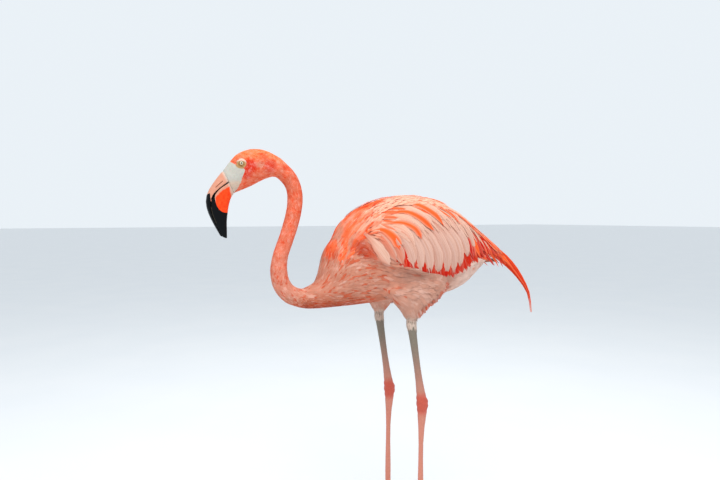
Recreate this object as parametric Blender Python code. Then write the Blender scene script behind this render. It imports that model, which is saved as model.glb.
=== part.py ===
"""A standing Caribbean flamingo at life size, as closed solids.

X points forward, Y to the bird's left and Z up, in metres. The stations below are measured
from the line through both legs on the floor; BODY_CENTRE then moves the whole bird, so that
the frame's origin lies under the middle of its box.
"""

import math

import bmesh
import bpy
import numpy as np
from mathutils import Vector

# ---- driving dimensions -------------------------------------------------------------------
BODY_CENTRE = -0.001865  # middle of the bird's length, from the leg line
GAP = 0.0005  # clearance left by the thin cuts between neighbouring pieces
LEG_SPREAD = 0.060  # each leg's distance from the mid plane
HEAD_TURN = math.radians(-8)  # the head looks a little to its right
TURN_AXIS_X = 0.215  # the upright axis, in the neck, that it turns about

# Ribs of the trunk from rump to neck root: top x, top z, bottom x, bottom z, half width.
TRUNK_RIBS = (
    (-0.236, 0.598, -0.228, 0.583, 0.012),
    (-0.190, 0.630, -0.203, 0.565, 0.032),
    (-0.120, 0.676, -0.150, 0.530, 0.060),
    (-0.030, 0.703, -0.045, 0.514, 0.076),
    (0.050, 0.692, 0.040, 0.512, 0.077),
    (0.111, 0.664, 0.102, 0.509, 0.066),
    (0.146, 0.630, 0.142, 0.508, 0.051),
    (0.157, 0.590, 0.168, 0.508, 0.034),
    (0.173, 0.5615, 0.187, 0.509, 0.0240),
    (0.199, 0.5505, 0.2025, 0.5115, 0.0195),
)
TRUNK_SKEW = 0.06  # the trunk is this much wider above its middle

# Ribs of the neck from the breast to the nape, as for the trunk: the "top" is its inner side
# at the breast and its back farther up.
NECK_RIBS = (
    (0.1990, 0.5505, 0.2025, 0.5115, 0.0195),
    (0.2160, 0.5570, 0.2355, 0.5265, 0.0184),
    (0.2235, 0.5665, 0.2550, 0.5510, 0.0175),
    (0.2280, 0.5835, 0.2618, 0.5825, 0.0165),
    (0.2272, 0.6040, 0.2576, 0.6106, 0.0155),
    (0.2169, 0.6325, 0.2452, 0.6443, 0.0150),
    (0.2054, 0.6647, 0.2351, 0.6750, 0.0150),
    (0.1981, 0.6948, 0.2296, 0.6981, 0.0150),
    (0.1975, 0.7265, 0.2289, 0.7229, 0.0150),
    (0.2071, 0.7541, 0.2334, 0.7349, 0.0154),
    (0.2210, 0.7710, 0.2415, 0.7440, 0.0162),
    (0.2380, 0.7850, 0.2500, 0.7515, 0.0169),
)
NECK_LENGTH = 0.29
NECK_CUTS = (0.0, 0.20, 0.48, 0.75, 1.0)  # shares of the neck's length
NECK_NAMES = ("neck_root", "neck_lower", "neck_middle", "neck_upper")

# Ribs of the head from nape to bill root: crown x, z, throat x, z, half width.
HEAD_RIBS = (
    (0.2380, 0.7850, 0.2500, 0.7515, 0.0169),
    (0.2600, 0.7965, 0.2680, 0.7455, 0.0190),
    (0.2900, 0.8005, 0.2930, 0.7320, 0.0206),
    (0.3190, 0.7890, 0.3150, 0.7225, 0.0180),
    (0.3415, 0.7590, 0.3235, 0.7190, 0.0138),
)
EYE_CENTRE = (0.3110, 0.0135, 0.7720)
EYE_RADIUS = 0.0074

# Stations of the bill from root to tip: culmen x, z, gape x, z, gonys x, z, and the half
# widths of the upper and the lower mandible.
BILL_STATIONS = (
    (0.3418, 0.7587, 0.3337, 0.7395, 0.3240, 0.7185, 0.0130, 0.0130),
    (0.3560, 0.7400, 0.3470, 0.7290, 0.3275, 0.7110, 0.0125, 0.0142),
    (0.3680, 0.7180, 0.3590, 0.7125, 0.3310, 0.6975, 0.0112, 0.0148),
    (0.3697, 0.7050, 0.3620, 0.7020, 0.3325, 0.6870, 0.0100, 0.0138),
    (0.3660, 0.6880, 0.3605, 0.6850, 0.3340, 0.6735, 0.0088, 0.0118),
    (0.3562, 0.6665, 0.3520, 0.6645, 0.3340, 0.6575, 0.0072, 0.0088),
    (0.3455, 0.6470, 0.3420, 0.6455, 0.3340, 0.6425, 0.0040, 0.0046),
)

# Ribs of the coat of both folded wings, from plume root to shoulder, as for the trunk.
WING_RIBS = (
    (-0.285, 0.606, -0.272, 0.584, 0.008),
    (-0.240, 0.630, -0.235, 0.560, 0.030),
    (-0.184, 0.666, -0.190, 0.540, 0.054),
    (-0.110, 0.711, -0.115, 0.515, 0.079),
    (-0.030, 0.7235, -0.030, 0.505, 0.091),
    (0.040, 0.7140, 0.040, 0.505, 0.091),
    (0.095, 0.690, 0.095, 0.515, 0.076),
    (0.128, 0.655, 0.128, 0.560, 0.050),
)
# The wing's front and lower edge in side view, from shoulder through wrist to plume root.
WING_EDGE = (
    (0.112, 0.690),
    (0.124, 0.648),
    (0.121, 0.614),
    (0.085, 0.596),
    (0.010, 0.575),
    (-0.060, 0.563),
    (-0.120, 0.566),
    (-0.180, 0.585),
    (-0.250, 0.592),
)

# The long drooping plume at the wing's end: upper x, z, lower x, z, y, half thickness.
PLUME_RIBS = (
    (-0.232, 0.634, -0.212, 0.606, 0.0100, 0.0030),
    (-0.270, 0.614, -0.254, 0.588, 0.0075, 0.0028),
    (-0.305, 0.587, -0.292, 0.566, 0.0055, 0.0022),
    (-0.339, 0.546, -0.328, 0.536, 0.0035, 0.0016),
    (-0.372, 0.488, -0.368, 0.487, 0.0017, 0.0010),
)

# The folded tail, from rump to tip: x, z, half width, half thickness.
TAIL_STATIONS = (
    (-0.205, 0.5785, 0.026, 0.0075),
    (-0.235, 0.5770, 0.029, 0.0060),
    (-0.262, 0.5720, 0.026, 0.0035),
    (-0.274, 0.5695, 0.020, 0.0020),
)

# Upright stations of the leg: x, y, z, half depth fore and aft, half width.
THIGH_STATIONS = (
    (-0.028, 0.038, 0.580, 0.040, 0.018),
    (-0.020, 0.049, 0.553, 0.075, 0.033),
    (-0.0085, 0.056, 0.523, 0.053, 0.031),
    (-0.001, 0.059, 0.497, 0.023, 0.021),
    (0.0005, LEG_SPREAD, 0.476, 0.0130, 0.0125),
)
SHANK_STATIONS = (
    (0.0005, LEG_SPREAD, 0.476, 0.0092, 0.0088),
    (-0.0070, LEG_SPREAD, 0.430, 0.0074, 0.0068),
    (-0.0170, LEG_SPREAD, 0.370, 0.0072, 0.0066),
    (-0.0225, LEG_SPREAD, 0.337, 0.0096, 0.0082),
)
ANKLE_STATIONS = (
    (-0.0225, LEG_SPREAD, 0.337, 0.0096, 0.0082),
    (-0.0255, LEG_SPREAD, 0.322, 0.0124, 0.0100),
    (-0.0250, LEG_SPREAD, 0.304, 0.0098, 0.0084),
)
TARSUS_STATIONS = (
    (-0.0250, LEG_SPREAD, 0.304, 0.0098, 0.0084),
    (-0.0235, LEG_SPREAD, 0.272, 0.0066, 0.0054),
    (-0.0220, LEG_SPREAD, 0.150, 0.0062, 0.0050),
    (-0.0225, LEG_SPREAD, 0.050, 0.0066, 0.0056),
    (-0.0230, LEG_SPREAD, 0.022, 0.0082, 0.0076),
)

# The foot: each toe's turn from straight ahead, outwards, and its length without the claw.
FOOT_X = -0.023
TOES = {
    "inner": (math.radians(-29), 0.062),
    "middle": (math.radians(2), 0.080),
    "outer": (math.radians(31), 0.070),
}
TOE_HALF_WIDTH = 0.0046
TOE_HEIGHT = 0.0072
WEB_HEIGHT = 0.0016
WEB_SCALLOP = 0.016  # how far the web's edge falls back between two toe tips
CLAW_LENGTH = 0.0085
CLAW_RADIUS = 0.0021


# ---- shapes -------------------------------------------------------------------------------
def smooth(stations, count, measure=2, start=0.0, end=1.0):
    """Count stations on a smooth curve through the given ones, evenly spaced by the distance
    that their first `measure` numbers travel, between two shares of it."""
    given = np.array(stations, float)
    steps = np.linalg.norm(np.diff(given[:, :measure], axis=0), axis=1)
    reach = np.concatenate(([0.0], np.cumsum(steps)))
    slope = np.gradient(given, reach, axis=0)
    at = np.linspace(start, end, count) * reach[-1]
    k = np.clip(np.searchsorted(reach, at, side="right") - 1, 0, len(reach) - 2)
    span = (reach[k + 1] - reach[k])[:, None]
    u = (at - reach[k])[:, None] / span
    return (
        given[k] * (2 * u**3 - 3 * u**2 + 1)
        + slope[k] * span * (u**3 - 2 * u**2 + u)
        + given[k + 1] * (3 * u**2 - 2 * u**3)
        + slope[k + 1] * span * (u**3 - u**2)
    )


def rib(top_x, top_z, bottom_x, bottom_z, half_width, sides, skew=0.0, y=0.0):
    """An egg-shaped ring that spans from a top to a bottom point in a plane of constant y."""
    top = Vector((top_x, y, top_z))
    bottom = Vector((bottom_x, y, bottom_z))
    centre, up = (top + bottom) / 2, (top - bottom) / 2
    ring = []
    for k in range(sides):
        angle = 2 * math.pi * k / sides
        out = half_width * math.sin(angle) * (1 + skew * math.cos(angle))
        ring.append(centre + up * math.cos(angle) + Vector((0, out, 0)))
    return ring


def dome(base, crest, half_width, sides):
    """A ring that is flat across its base and round over its crest, both in the mid plane."""
    base, crest = (Vector((x, 0, z)) for x, z in (base, crest))
    ring = []
    for k in range(sides):
        angle = 2 * math.pi * k / sides
        out = half_width * math.copysign(abs(math.sin(angle)) ** 0.8, math.sin(angle))
        rise = max(math.cos(angle), 0.0)
        ring.append(base + (crest - base) * rise + Vector((0, out, 0)))
    return ring


def oval(x, y, z, half_depth, half_width, sides):
    """A level oval ring."""
    turns = (2 * math.pi * k / sides for k in range(sides))
    return [
        Vector((x + half_depth * math.cos(a), y + half_width * math.sin(a), z)) for a in turns
    ]


def loft(rings):
    """A closed mesh over rings of one size, capped at both ends."""
    shape = bmesh.new()
    loops = [[shape.verts.new(point) for point in ring] for ring in rings]
    for first, second in zip(loops, loops[1:]):
        for k in range(len(first)):
            n = (k + 1) % len(first)
            shape.faces.new((first[k], first[n], second[n], second[k]))
    shape.faces.new(loops[0])
    shape.faces.new(loops[-1])
    bmesh.ops.recalc_face_normals(shape, faces=shape.faces)
    return shape


def ball(centre, radius, segments, rings):
    """A closed sphere."""
    shape = bmesh.new()
    bmesh.ops.create_uvsphere(shape, u_segments=segments, v_segments=rings, radius=radius)
    bmesh.ops.translate(shape, verts=shape.verts, vec=centre)
    return shape


def extruded(outline, low_y, high_y):
    """A closed prism over an outline in side view."""
    shape = bmesh.new()
    face = shape.faces.new([shape.verts.new((x, low_y, z)) for x, z in outline])
    made = bmesh.ops.extrude_face_region(shape, geom=[face])["geom"]
    moved = [item for item in made if isinstance(item, bmesh.types.BMVert)]
    bmesh.ops.translate(shape, verts=moved, vec=(0, high_y - low_y, 0))
    bmesh.ops.recalc_face_normals(shape, faces=shape.faces)
    return shape


def turned(rings, shares):
    """Rings turned about the upright axis in the neck, each by its share of HEAD_TURN."""
    axis = Vector((TURN_AXIS_X, 0, 0))
    moved = []
    for ring, share in zip(rings, shares):
        angle = HEAD_TURN * share
        cos, sin = math.cos(angle), math.sin(angle)
        for point in ring:
            arm = point - axis
            point.x = axis.x + arm.x * cos - arm.y * sin
            point.y = arm.x * sin + arm.y * cos
        moved.append(ring)
    return moved


# ---- objects ------------------------------------------------------------------------------
def clear_scene():
    for thing in list(bpy.data.objects):
        bpy.data.objects.remove(thing)


def finish(name, colour, roughness):
    """A Principled material."""
    material = bpy.data.materials.new(name)
    material.use_nodes = True
    shader = material.node_tree.nodes["Principled BSDF"]
    shader.inputs["Base Color"].default_value = (*colour, 1)
    shader.inputs["Roughness"].default_value = roughness
    shader.inputs["Metallic"].default_value = 0.0
    return material


def place(name, shape, material, root):
    """The object of a shape, with its origin on the shape's middle, under the bird's empty."""
    middle = sum((vertex.co for vertex in shape.verts), Vector()) / len(shape.verts)
    bmesh.ops.translate(shape, verts=shape.verts, vec=-middle)
    mesh = bpy.data.meshes.new(name)
    shape.to_mesh(mesh)
    shape.free()
    mesh.materials.append(material)
    mesh.shade_smooth()
    mesh.set_sharp_from_angle(angle=math.radians(40))
    thing = bpy.data.objects.new(name, mesh)
    bpy.context.scene.collection.objects.link(thing)
    thing.parent = root
    thing.location = middle
    return thing


def helper(thing):
    """Makes an object a cutter that is no part of the bird."""
    thing.hide_render = True
    thing.display_type = "WIRE"
    return thing


def swollen(thing, name):
    """A helper with the shape that the object was drawn with, moved out by the clearance."""
    shape = bmesh.new()
    shape.from_mesh(thing.data)
    bmesh.ops.triangulate(shape, faces=shape.faces)
    shape.normal_update()
    moved = [vertex.normal * GAP * vertex.calc_shell_factor() for vertex in shape.verts]
    for vertex, move in zip(shape.verts, moved):
        vertex.co += move + thing.location
    return helper(place(name, shape, thing.data.materials[0], thing.parent))


def combine(thing, other, operation):
    """Adds an exact Boolean with another object."""
    step = thing.modifiers.new(f"{operation.lower()}_{other.name}", "BOOLEAN")
    step.operation = operation
    step.solver = "EXACT"
    step.object = other
    return thing


# ---- the bird -----------------------------------------------------------------------------
def make_trunk(root, coat):
    ribs = smooth(TRUNK_RIBS, 19, measure=4)
    rings = [rib(*row, sides=28, skew=TRUNK_SKEW) for row in ribs]
    return place("trunk", loft(rings), coat, root)


def make_neck(root, coat):
    """The neck in lengths, the last of which eases into the head's turn."""
    slack = GAP / 2 / NECK_LENGTH
    for name, start, end in zip(NECK_NAMES, NECK_CUTS, NECK_CUTS[1:]):
        ribs = smooth(NECK_RIBS, 7, measure=4, start=start + slack, end=end - slack)
        rings = [rib(*row, sides=16) for row in ribs]
        if end == 1:
            shares = np.linspace(0, 1, len(rings))
            turned(rings, shares * shares * (3 - 2 * shares))
        place(name, loft(rings), coat, root)


def make_head(root, coat, iris):
    """The head with its two eye sockets, and the eyes in them."""
    ribs = smooth(HEAD_RIBS, 13, measure=4)
    rings = [rib(*row, sides=24) for row in ribs]
    head = place("head", loft(turned(rings, [1] * len(rings))), coat, root)
    x, y, z = EYE_CENTRE
    for side, name in ((1, "left"), (-1, "right")):
        centre = turned([[Vector((x, side * y, z))]], [1])[0][0]
        hollow = place(f"socket_{name}", ball(centre, EYE_RADIUS + GAP, 14, 9), coat, root)
        combine(head, helper(hollow), "DIFFERENCE")
        place(f"eye_{name}", ball(centre, EYE_RADIUS, 12, 8), iris, root)


def make_bill(root, pale_horn, dark_horn):
    """The two mandibles, which meet along the gape with a thin gap."""
    uppers, lowers = [], []
    for row in smooth(BILL_STATIONS, 12, measure=6):
        culmen, gape, gonys = (Vector(row[k : k + 2]) for k in (0, 2, 4))
        upwards = (culmen - gonys).normalized() * GAP / 2
        uppers.append(dome(gape + upwards, culmen, row[6], sides=16))
        lowers.append(dome(gape - upwards, gonys, row[7], sides=18))
    for name, rings, horn in (("bill_upper", uppers, pale_horn), ("bill_lower", lowers, dark_horn)):
        place(name, loft(turned(rings, [1] * len(rings))), horn, root)


def make_wings(root, coat, body):
    """Each folded wing is the part of the wings' coat inside its edge and outside the trunk.
    Returns helpers that clear each."""
    ribs = smooth(WING_RIBS, 15, measure=4)
    rings = [rib(*row, sides=28, skew=0.04) for row in ribs]
    edge = [tuple(point) for point in smooth(WING_EDGE, 25)]
    outline = [*edge, (-0.330, 0.592), (-0.330, 0.780), (0.112, 0.780)]
    clearances = []
    for side, name in ((1, "left"), (-1, "right")):
        wing = place(f"wing_{name}", loft(rings), coat, root)
        spans = sorted((side * GAP / 2, side * 0.14))
        region = helper(place(f"wing_region_{name}", extruded(outline, *spans), coat, root))
        clearance = swollen(wing, f"wing_clearance_{name}")
        combine(clearance, swollen(region, f"wing_region_clearance_{name}"), "INTERSECT")
        combine(wing, region, "INTERSECT")
        combine(wing, body, "DIFFERENCE")
        clearances.append(clearance)
    return clearances


def make_plumes(root, coat, body, wings):
    """The long blades that droop from the wings' ends."""
    for side, name, wing in ((1, "left", wings[0]), (-1, "right", wings[1])):
        rings = []
        for top_x, top_z, low_x, low_z, y, thick in smooth(PLUME_RIBS, 10, measure=4):
            rings.append(rib(top_x, top_z, low_x, low_z, thick, sides=6, y=side * y))
        plume = place(f"plume_{name}", loft(rings), coat, root)
        combine(plume, body, "DIFFERENCE")
        combine(plume, wing, "DIFFERENCE")


def make_tail(root, coat, body):
    """A flat wedge that goes on from the rump, under the wings' ends."""
    rings = []
    for x, z, half_width, thick in smooth(TAIL_STATIONS, 6):
        rings.append(rib(x, z + thick, x, z - thick, half_width, sides=16))
    tail = place("tail", loft(rings), coat, root)
    combine(tail, body, "DIFFERENCE")


def upright(stations, side, count, sides):
    """A loft over level ovals, held half a cut clear of its neighbours at both ends."""
    rows = smooth(stations, count, measure=3)
    rows[0, 2] -= GAP / 2
    rows[-1, 2] += GAP / 2
    return loft([oval(x, side * y, z, d, w, sides) for x, y, z, d, w in rows])


def make_leg(root, side, name, coat, skin, clearances):
    thigh = place(f"thigh_{name}", upright(THIGH_STATIONS, side, 9, 16), coat, root)
    for clearance in clearances:
        combine(thigh, clearance, "DIFFERENCE")
    place(f"shank_{name}", upright(SHANK_STATIONS, side, 6, 10), skin, root)
    place(f"ankle_{name}", upright(ANKLE_STATIONS, side, 6, 10), skin, root)
    place(f"tarsus_{name}", upright(TARSUS_STATIONS, side, 10, 10), skin, root)


def toe_lines():
    """The lines that fan out over the foot: turn, spread, length and rise of each."""
    toes = list(TOES.values())
    lines = []
    for k, (turn, length) in enumerate(toes):
        for across in (-1, 0, 1):
            rise = (TOE_HEIGHT - WEB_HEIGHT) * math.sqrt(1 - 0.98 * across**2)
            lines.append((turn, across, length - 0.003 * across**2, rise))
        if k + 1 < len(toes):
            far_turn, far_length = toes[k + 1]
            for share in (1 / 3, 2 / 3):
                reach = length + (far_length - length) * share - WEB_SCALLOP
                lines.append((turn + (far_turn - turn) * share, 0, reach, 0))
    return lines


def foot_fan(side):
    """Three toes and the webs between them, flat below, as one closed shape."""
    shares = (0.06, 0.18, 0.34, 0.50, 0.66, 0.82, 0.94, 1.0)
    shape = bmesh.new()
    tops, soles = [], []
    for turn, across, length, rise in toe_lines():
        top_row, sole_row = [], []
        for share in shares:
            reach = share * length
            narrow = min(TOE_HALF_WIDTH * (1.15 - 0.45 * share) / reach, math.sin(math.radians(13)))
            angle = turn + across * math.asin(narrow)
            joints = 1 + 0.10 * math.cos(6 * math.pi * share)
            height = WEB_HEIGHT + rise * joints * (1 - 0.45 * share**2)
            x = FOOT_X + reach * math.cos(angle)
            y = side * (LEG_SPREAD + reach * math.sin(angle))
            top_row.append(shape.verts.new((x, y, height)))
            sole_row.append(shape.verts.new((x, y, 0)))
        tops.append(top_row)
        soles.append(sole_row)
    last = len(shares) - 1
    for row, (top, sole) in enumerate(zip(tops, soles)):
        if row + 1 < len(tops):
            next_top, next_sole = tops[row + 1], soles[row + 1]
            for k in range(last):
                shape.faces.new((top[k], next_top[k], next_top[k + 1], top[k + 1]))
                shape.faces.new((sole[k], next_sole[k], next_sole[k + 1], sole[k + 1]))
            for k in (0, last):
                shape.faces.new((top[k], next_top[k], next_sole[k], sole[k]))
        if row in (0, len(tops) - 1):
            for k in range(last):
                shape.faces.new((top[k], top[k + 1], sole[k + 1], sole[k]))
    bmesh.ops.recalc_face_normals(shape, faces=shape.faces)
    return shape


def make_foot(root, side, name, skin, horn):
    """The webbed fan, joined to the knob under the tarsus and to the small hind toe."""
    y = side * LEG_SPREAD
    foot = place(f"foot_{name}", foot_fan(side), skin, root)
    knob_rows = (
        (0.0, 0.0080),
        (0.004, 0.0092),
        (0.011, 0.0092),
        (0.017, 0.0086),
        (0.022 - GAP / 2, 0.0080),
    )
    knob = loft([oval(FOOT_X, y, z, r, r * 0.94, 14) for z, r in knob_rows])
    combine(foot, helper(place(f"knob_{name}", knob, skin, root)), "UNION")
    hind_rows = smooth(((-0.006, 0.0130, 0.0036), (-0.014, 0.0085, 0.0030), (-0.021, 0.0045, 0.0022)), 4)
    hind_rings = []
    for x, z, r in hind_rows:
        start = FOOT_X + x
        hind_rings.append(rib(start - 0.5 * r, z + r, start + 0.5 * r, z - r, r, sides=10, y=y))
    combine(foot, helper(place(f"hind_toe_{name}", loft(hind_rings), skin, root)), "UNION")
    for toe, (turn, length) in TOES.items():
        make_claw(root, f"claw_{name}_{toe}", side, turn, length + GAP, horn)


def make_claw(root, name, side, turn, reach, horn):
    """A blunt claw that goes on from a toe's tip along the floor."""
    ahead = Vector((math.cos(turn), side * math.sin(turn), 0))
    aside = Vector((-ahead.y, ahead.x, 0))
    start = Vector((FOOT_X, side * LEG_SPREAD, 0))
    rings = []
    for share in (0.0, 0.3, 0.65, 1.0):
        radius = CLAW_RADIUS * (1 - 0.75 * share**1.5)
        height = 0.0006 + radius + 0.0009 * math.sin(math.pi * share)
        centre = start + ahead * (reach + CLAW_LENGTH * share) + Vector((0, 0, height))
        turns = (math.pi * k / 3 for k in range(6))
        rings.append(
            [centre + aside * radius * math.cos(a) + Vector((0, 0, radius * math.sin(a))) for a in turns]
        )
    place(name, loft(rings), horn, root)


def main():
    clear_scene()
    root = bpy.data.objects.new("flamingo", None)
    root.location = (-BODY_CENTRE, 0, 0)
    bpy.context.scene.collection.objects.link(root)

    coral = finish("coral_plumage", (0.92, 0.42, 0.31), 0.85)
    shell_pink = finish("shell_pink_plumage", (0.94, 0.68, 0.60), 0.85)
    scarlet = finish("scarlet_plumage", (0.88, 0.16, 0.06), 0.8)
    leg_skin = finish("leg_skin", (0.72, 0.52, 0.48), 0.6)
    pale_horn = finish("pale_bill_horn", (0.92, 0.66, 0.56), 0.45)
    dark_horn = finish("dark_bill_horn", (0.03, 0.03, 0.035), 0.35)
    claw_horn = finish("claw_horn", (0.12, 0.10, 0.10), 0.4)
    iris = finish("iris", (0.86, 0.82, 0.62), 0.1)

    trunk = make_trunk(root, coral)
    body = swollen(trunk, "trunk_clearance")
    make_neck(root, coral)
    make_head(root, coral, iris)
    make_bill(root, pale_horn, dark_horn)
    wings = make_wings(root, shell_pink, body)
    make_plumes(root, scarlet, body, wings)
    make_tail(root, shell_pink, body)
    for side, name, wing in ((1, "left", wings[0]), (-1, "right", wings[1])):
        make_leg(root, side, name, coral, leg_skin, [body, wing])
        make_foot(root, side, name, leg_skin, claw_horn)


main()
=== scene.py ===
"""The looks of the standing flamingo: skin, plumage, bill, eyes, legs, floor, light and camera.

Everything is in the frame's metres: X forward, Y to the bird's left, Z up from the floor.
Outlines are given in millimetres as x and z, seen from the bird's left side. Those of the head
and the bill are for the head looking straight ahead, and are turned with it afterwards.
"""

import math

import bmesh
import bpy
import numpy as np
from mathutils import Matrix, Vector
from mathutils.bvhtree import BVHTree


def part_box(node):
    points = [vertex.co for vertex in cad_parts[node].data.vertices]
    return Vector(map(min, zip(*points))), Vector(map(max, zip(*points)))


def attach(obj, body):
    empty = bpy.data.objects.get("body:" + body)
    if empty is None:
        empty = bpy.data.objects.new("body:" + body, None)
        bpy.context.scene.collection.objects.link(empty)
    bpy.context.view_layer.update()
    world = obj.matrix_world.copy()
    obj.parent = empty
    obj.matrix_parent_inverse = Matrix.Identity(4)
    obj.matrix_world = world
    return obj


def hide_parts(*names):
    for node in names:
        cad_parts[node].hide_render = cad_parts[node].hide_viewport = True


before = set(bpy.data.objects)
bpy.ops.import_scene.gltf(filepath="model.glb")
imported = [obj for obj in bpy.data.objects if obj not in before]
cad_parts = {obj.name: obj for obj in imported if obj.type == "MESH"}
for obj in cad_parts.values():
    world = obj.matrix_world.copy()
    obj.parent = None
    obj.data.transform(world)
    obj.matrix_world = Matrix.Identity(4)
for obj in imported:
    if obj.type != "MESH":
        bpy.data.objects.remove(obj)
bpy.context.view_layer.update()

SIDES = (("left", 1), ("right", -1))
MM = 0.001


def metres(*numbers):
    """Numbers of millimetres as metres."""
    return [round(number / 1000, 7) for number in numbers]


def places(*numbers, size=2):
    """Millimetres, taken a few at a time, as places in metres."""
    return tuple(zip(*[iter(metres(*numbers))] * size))


# ---- places and sizes on the bird ---------------------------------------------------------
HEAD_TURN = math.radians(-8)  # the head looks a little to its right
TURN_AXIS_X = 0.217  # the upright axis in the neck that it turns about
TURN_PIVOT = np.array((TURN_AXIS_X, 0.0, 0.0))
EYE_CENTRE = (0.3130, 0.0138, 0.7720)  # the left eyeball, before the head's turn
EYE_RADIUS = 0.0060
EYE_AXIS = np.array(Vector((0.10, 1.0, 0.02)).normalized())  # the left eye's line of sight
LID_RADIUS = 0.0038  # half the opening between the lids
# The line that the plumage of head and neck follows, from the bill's root to the breast.
NECK_LINE = places(
    338, 742, 314, 762, 286, 768, 262, 772, 245, 768, 227, 757, 216, 738, 214, 695, 231, 648, 245, 603,
    245, 570, 231, 543, 203, 531, 160, 560,
)
NECK_END = 0.385  # length along that line where the breast begins
HEAD_END = 0.105  # length along that line where the head ends
# How the plumage lies on the body: places in side view, in millimetres, and the lie's angle
# there, in degrees from straight ahead over straight up.
LIE_MARKS = (
    (200, 530, 178), (160, 518, 180), (100, 515, 184), (45, 513, 190), (166, 560, 150), (150, 600, 122),
    (135, 635, 122), (112, 665, 132), (90, 690, 148), (50, 705, 165), (0, 714, 180), (-60, 705, 196),
    (-120, 675, 212), (-180, 640, 214), (-240, 605, 208), (130, 585, 158), (100, 590, 176),
    (50, 588, 182), (0, 577, 196), (-50, 557, 204), (-80, 542, 212), (85, 550, 184), (30, 545, 195),
    (-20, 532, 216), (-55, 530, 226), (5, 512, 250), (-12, 490, 264), (18, 500, 262), (60, 650, 215),
    (0, 640, 225), (-50, 620, 236), (-110, 615, 236), (-100, 560, 178), (-150, 562, 164),
    (-205, 585, 162), (90, 625, 240),
)
LIE_REACH = 0.022  # how far each mark is felt
# The part of the side that the wing's long feathers cover.
WING_FIELD = places(
    80, 652, 70, 682, 45, 700, 0, 710.5, -60, 705, -130, 668, -200, 634, -262, 603, -262, 584, -205, 588,
    -165, 570, -130, 553, -78, 556, -32, 565, 13, 581, 50, 590, 66, 602,
)
FRINGE = places(-74, 548, -48, 528, -24, 511, -4, 498)  # rear of the flank
# The front of the wing, where the back's plumage flows over its long feathers.
WING_SEAM = places(92, 652, 88, 668, 78, 684, 58, 699, 25, 709, -20, 713, -70, 706)
BILL_ROOT = (0.3436, 0.7587)  # the culmen's upper end
BILL_WAY = np.array((0.914, -0.405))  # square to the line where the bill meets the face
# Sweeps of orange over the shoulder and the front of the back.
SWEEPS = (
    places(154, 600, 143, 634, 121, 664, 91, 690, 55, 706),
    places(144, 598, 130, 636, 108, 664, 84, 680),
    places(158, 620, 140, 650, 112, 680, 72, 704, 20, 718),
    places(130, 606, 118, 632, 100, 652),
    places(30, 722, -30, 722, -80, 708),
    places(66, 712.5, 30, 721.5, -10, 725.5),
)


# ---- colours ------------------------------------------------------------------------------
def paint(red, green, blue):
    """A colour given in the usual 0 to 255 steps, as the shader's linear values."""
    steps = np.array((red, green, blue)) / 255
    return np.where(steps <= 0.04045, steps / 12.92, ((steps + 0.055) / 1.055) ** 2.4)


CORAL = paint(231, 112, 78)
CROWN = paint(244, 124, 72)
CHEEK = paint(214, 40, 12)
SALMON = paint(216, 136, 112)
BREAST = paint(206, 138, 113)
# The belly's colour, darker than its own partly as painted shade of the underside.
BELLY_WITH_SHADE = paint(188, 100, 64)
BACK = paint(242, 176, 148)
FLANK = paint(194, 142, 122)
VENT = paint(232, 196, 180)
THIGH_END = paint(206, 184, 168)
SCARLET = paint(208, 14, 3)
ORANGE = paint(255, 104, 44)
PALE = paint(216, 176, 161)
BLUSH = paint(228, 186, 167)
WRIST = paint(184, 66, 36)
RUST = paint(206, 92, 62)
# Painted shade: the gap where the lids meet the eyeball.
LID_GAP_SHADE = paint(22, 20, 22)


# ---- small tools --------------------------------------------------------------------------
def ease(low, high, value):
    """0 before low, 1 past high, and a smooth change between them."""
    share = np.clip((value - low) / (high - low), 0, 1)
    return share * share * (3 - 2 * share)


def bell(value, middle, width):
    """1 at the middle, falling to 0 on both sides."""
    return np.exp(-(((value - middle) / width) ** 2))


def mix(first, second, share):
    """First where share is 0, second where it is 1, row by row."""
    return first + (second - first) * np.asarray(share, float)[..., None]


def layered(ground, *layers):
    """A ground colour with other colours laid over it in turn, each with its share."""
    for colour, share in layers:
        ground = mix(ground, colour, share)
    return ground


def unit(vectors):
    return vectors / (np.linalg.norm(vectors, axis=-1, keepdims=True) + 1e-9)


def curve(points, count):
    """Count places on a smooth curve through the points, evenly spaced along it."""
    given = np.array(points, float)
    reach = np.concatenate(([0], np.cumsum(np.linalg.norm(np.diff(given, axis=0), axis=1))))
    slope = np.gradient(given, reach, axis=0)
    at = np.linspace(0, reach[-1], count)
    k = np.clip(np.searchsorted(reach, at, side="right") - 1, 0, len(reach) - 2)
    span = (reach[k + 1] - reach[k])[:, None]
    u = (at - reach[k])[:, None] / span
    start = (2 * u**3 - 3 * u**2 + 1) * given[k] + (u**3 - 2 * u**2 + u) * span * slope[k]
    return start + (3 * u**2 - 2 * u**3) * given[k + 1] + (u**3 - u**2) * span * slope[k + 1]


def turn_head(points, back=False):
    """Points turned with the head, or back to the straight head."""
    angle = -HEAD_TURN if back else HEAD_TURN
    cos, sin = math.cos(angle), math.sin(angle)
    points = np.array(points, float)
    x, y = points[..., 0] - TURN_AXIS_X, points[..., 1].copy()
    points[..., 0] = TURN_AXIS_X + x * cos - y * sin
    points[..., 1] = x * sin + y * cos
    return points


def line_distance(points, line):
    """Distance of points from an open line, in side view."""
    return outline_distance(points[:, [0, 2]], line, closed=False)


def stretches(points, corners):
    """For each stretch of a line: its run, and each point's share along it, offset from its
    start and distance."""
    for start, end in zip(corners, corners[1:]):
        run, offset = end - start, points - start
        share = np.clip(offset @ run / (run @ run), 0, 1)
        yield run, share, offset, np.linalg.norm(offset - share[:, None] * run, axis=1)


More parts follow.
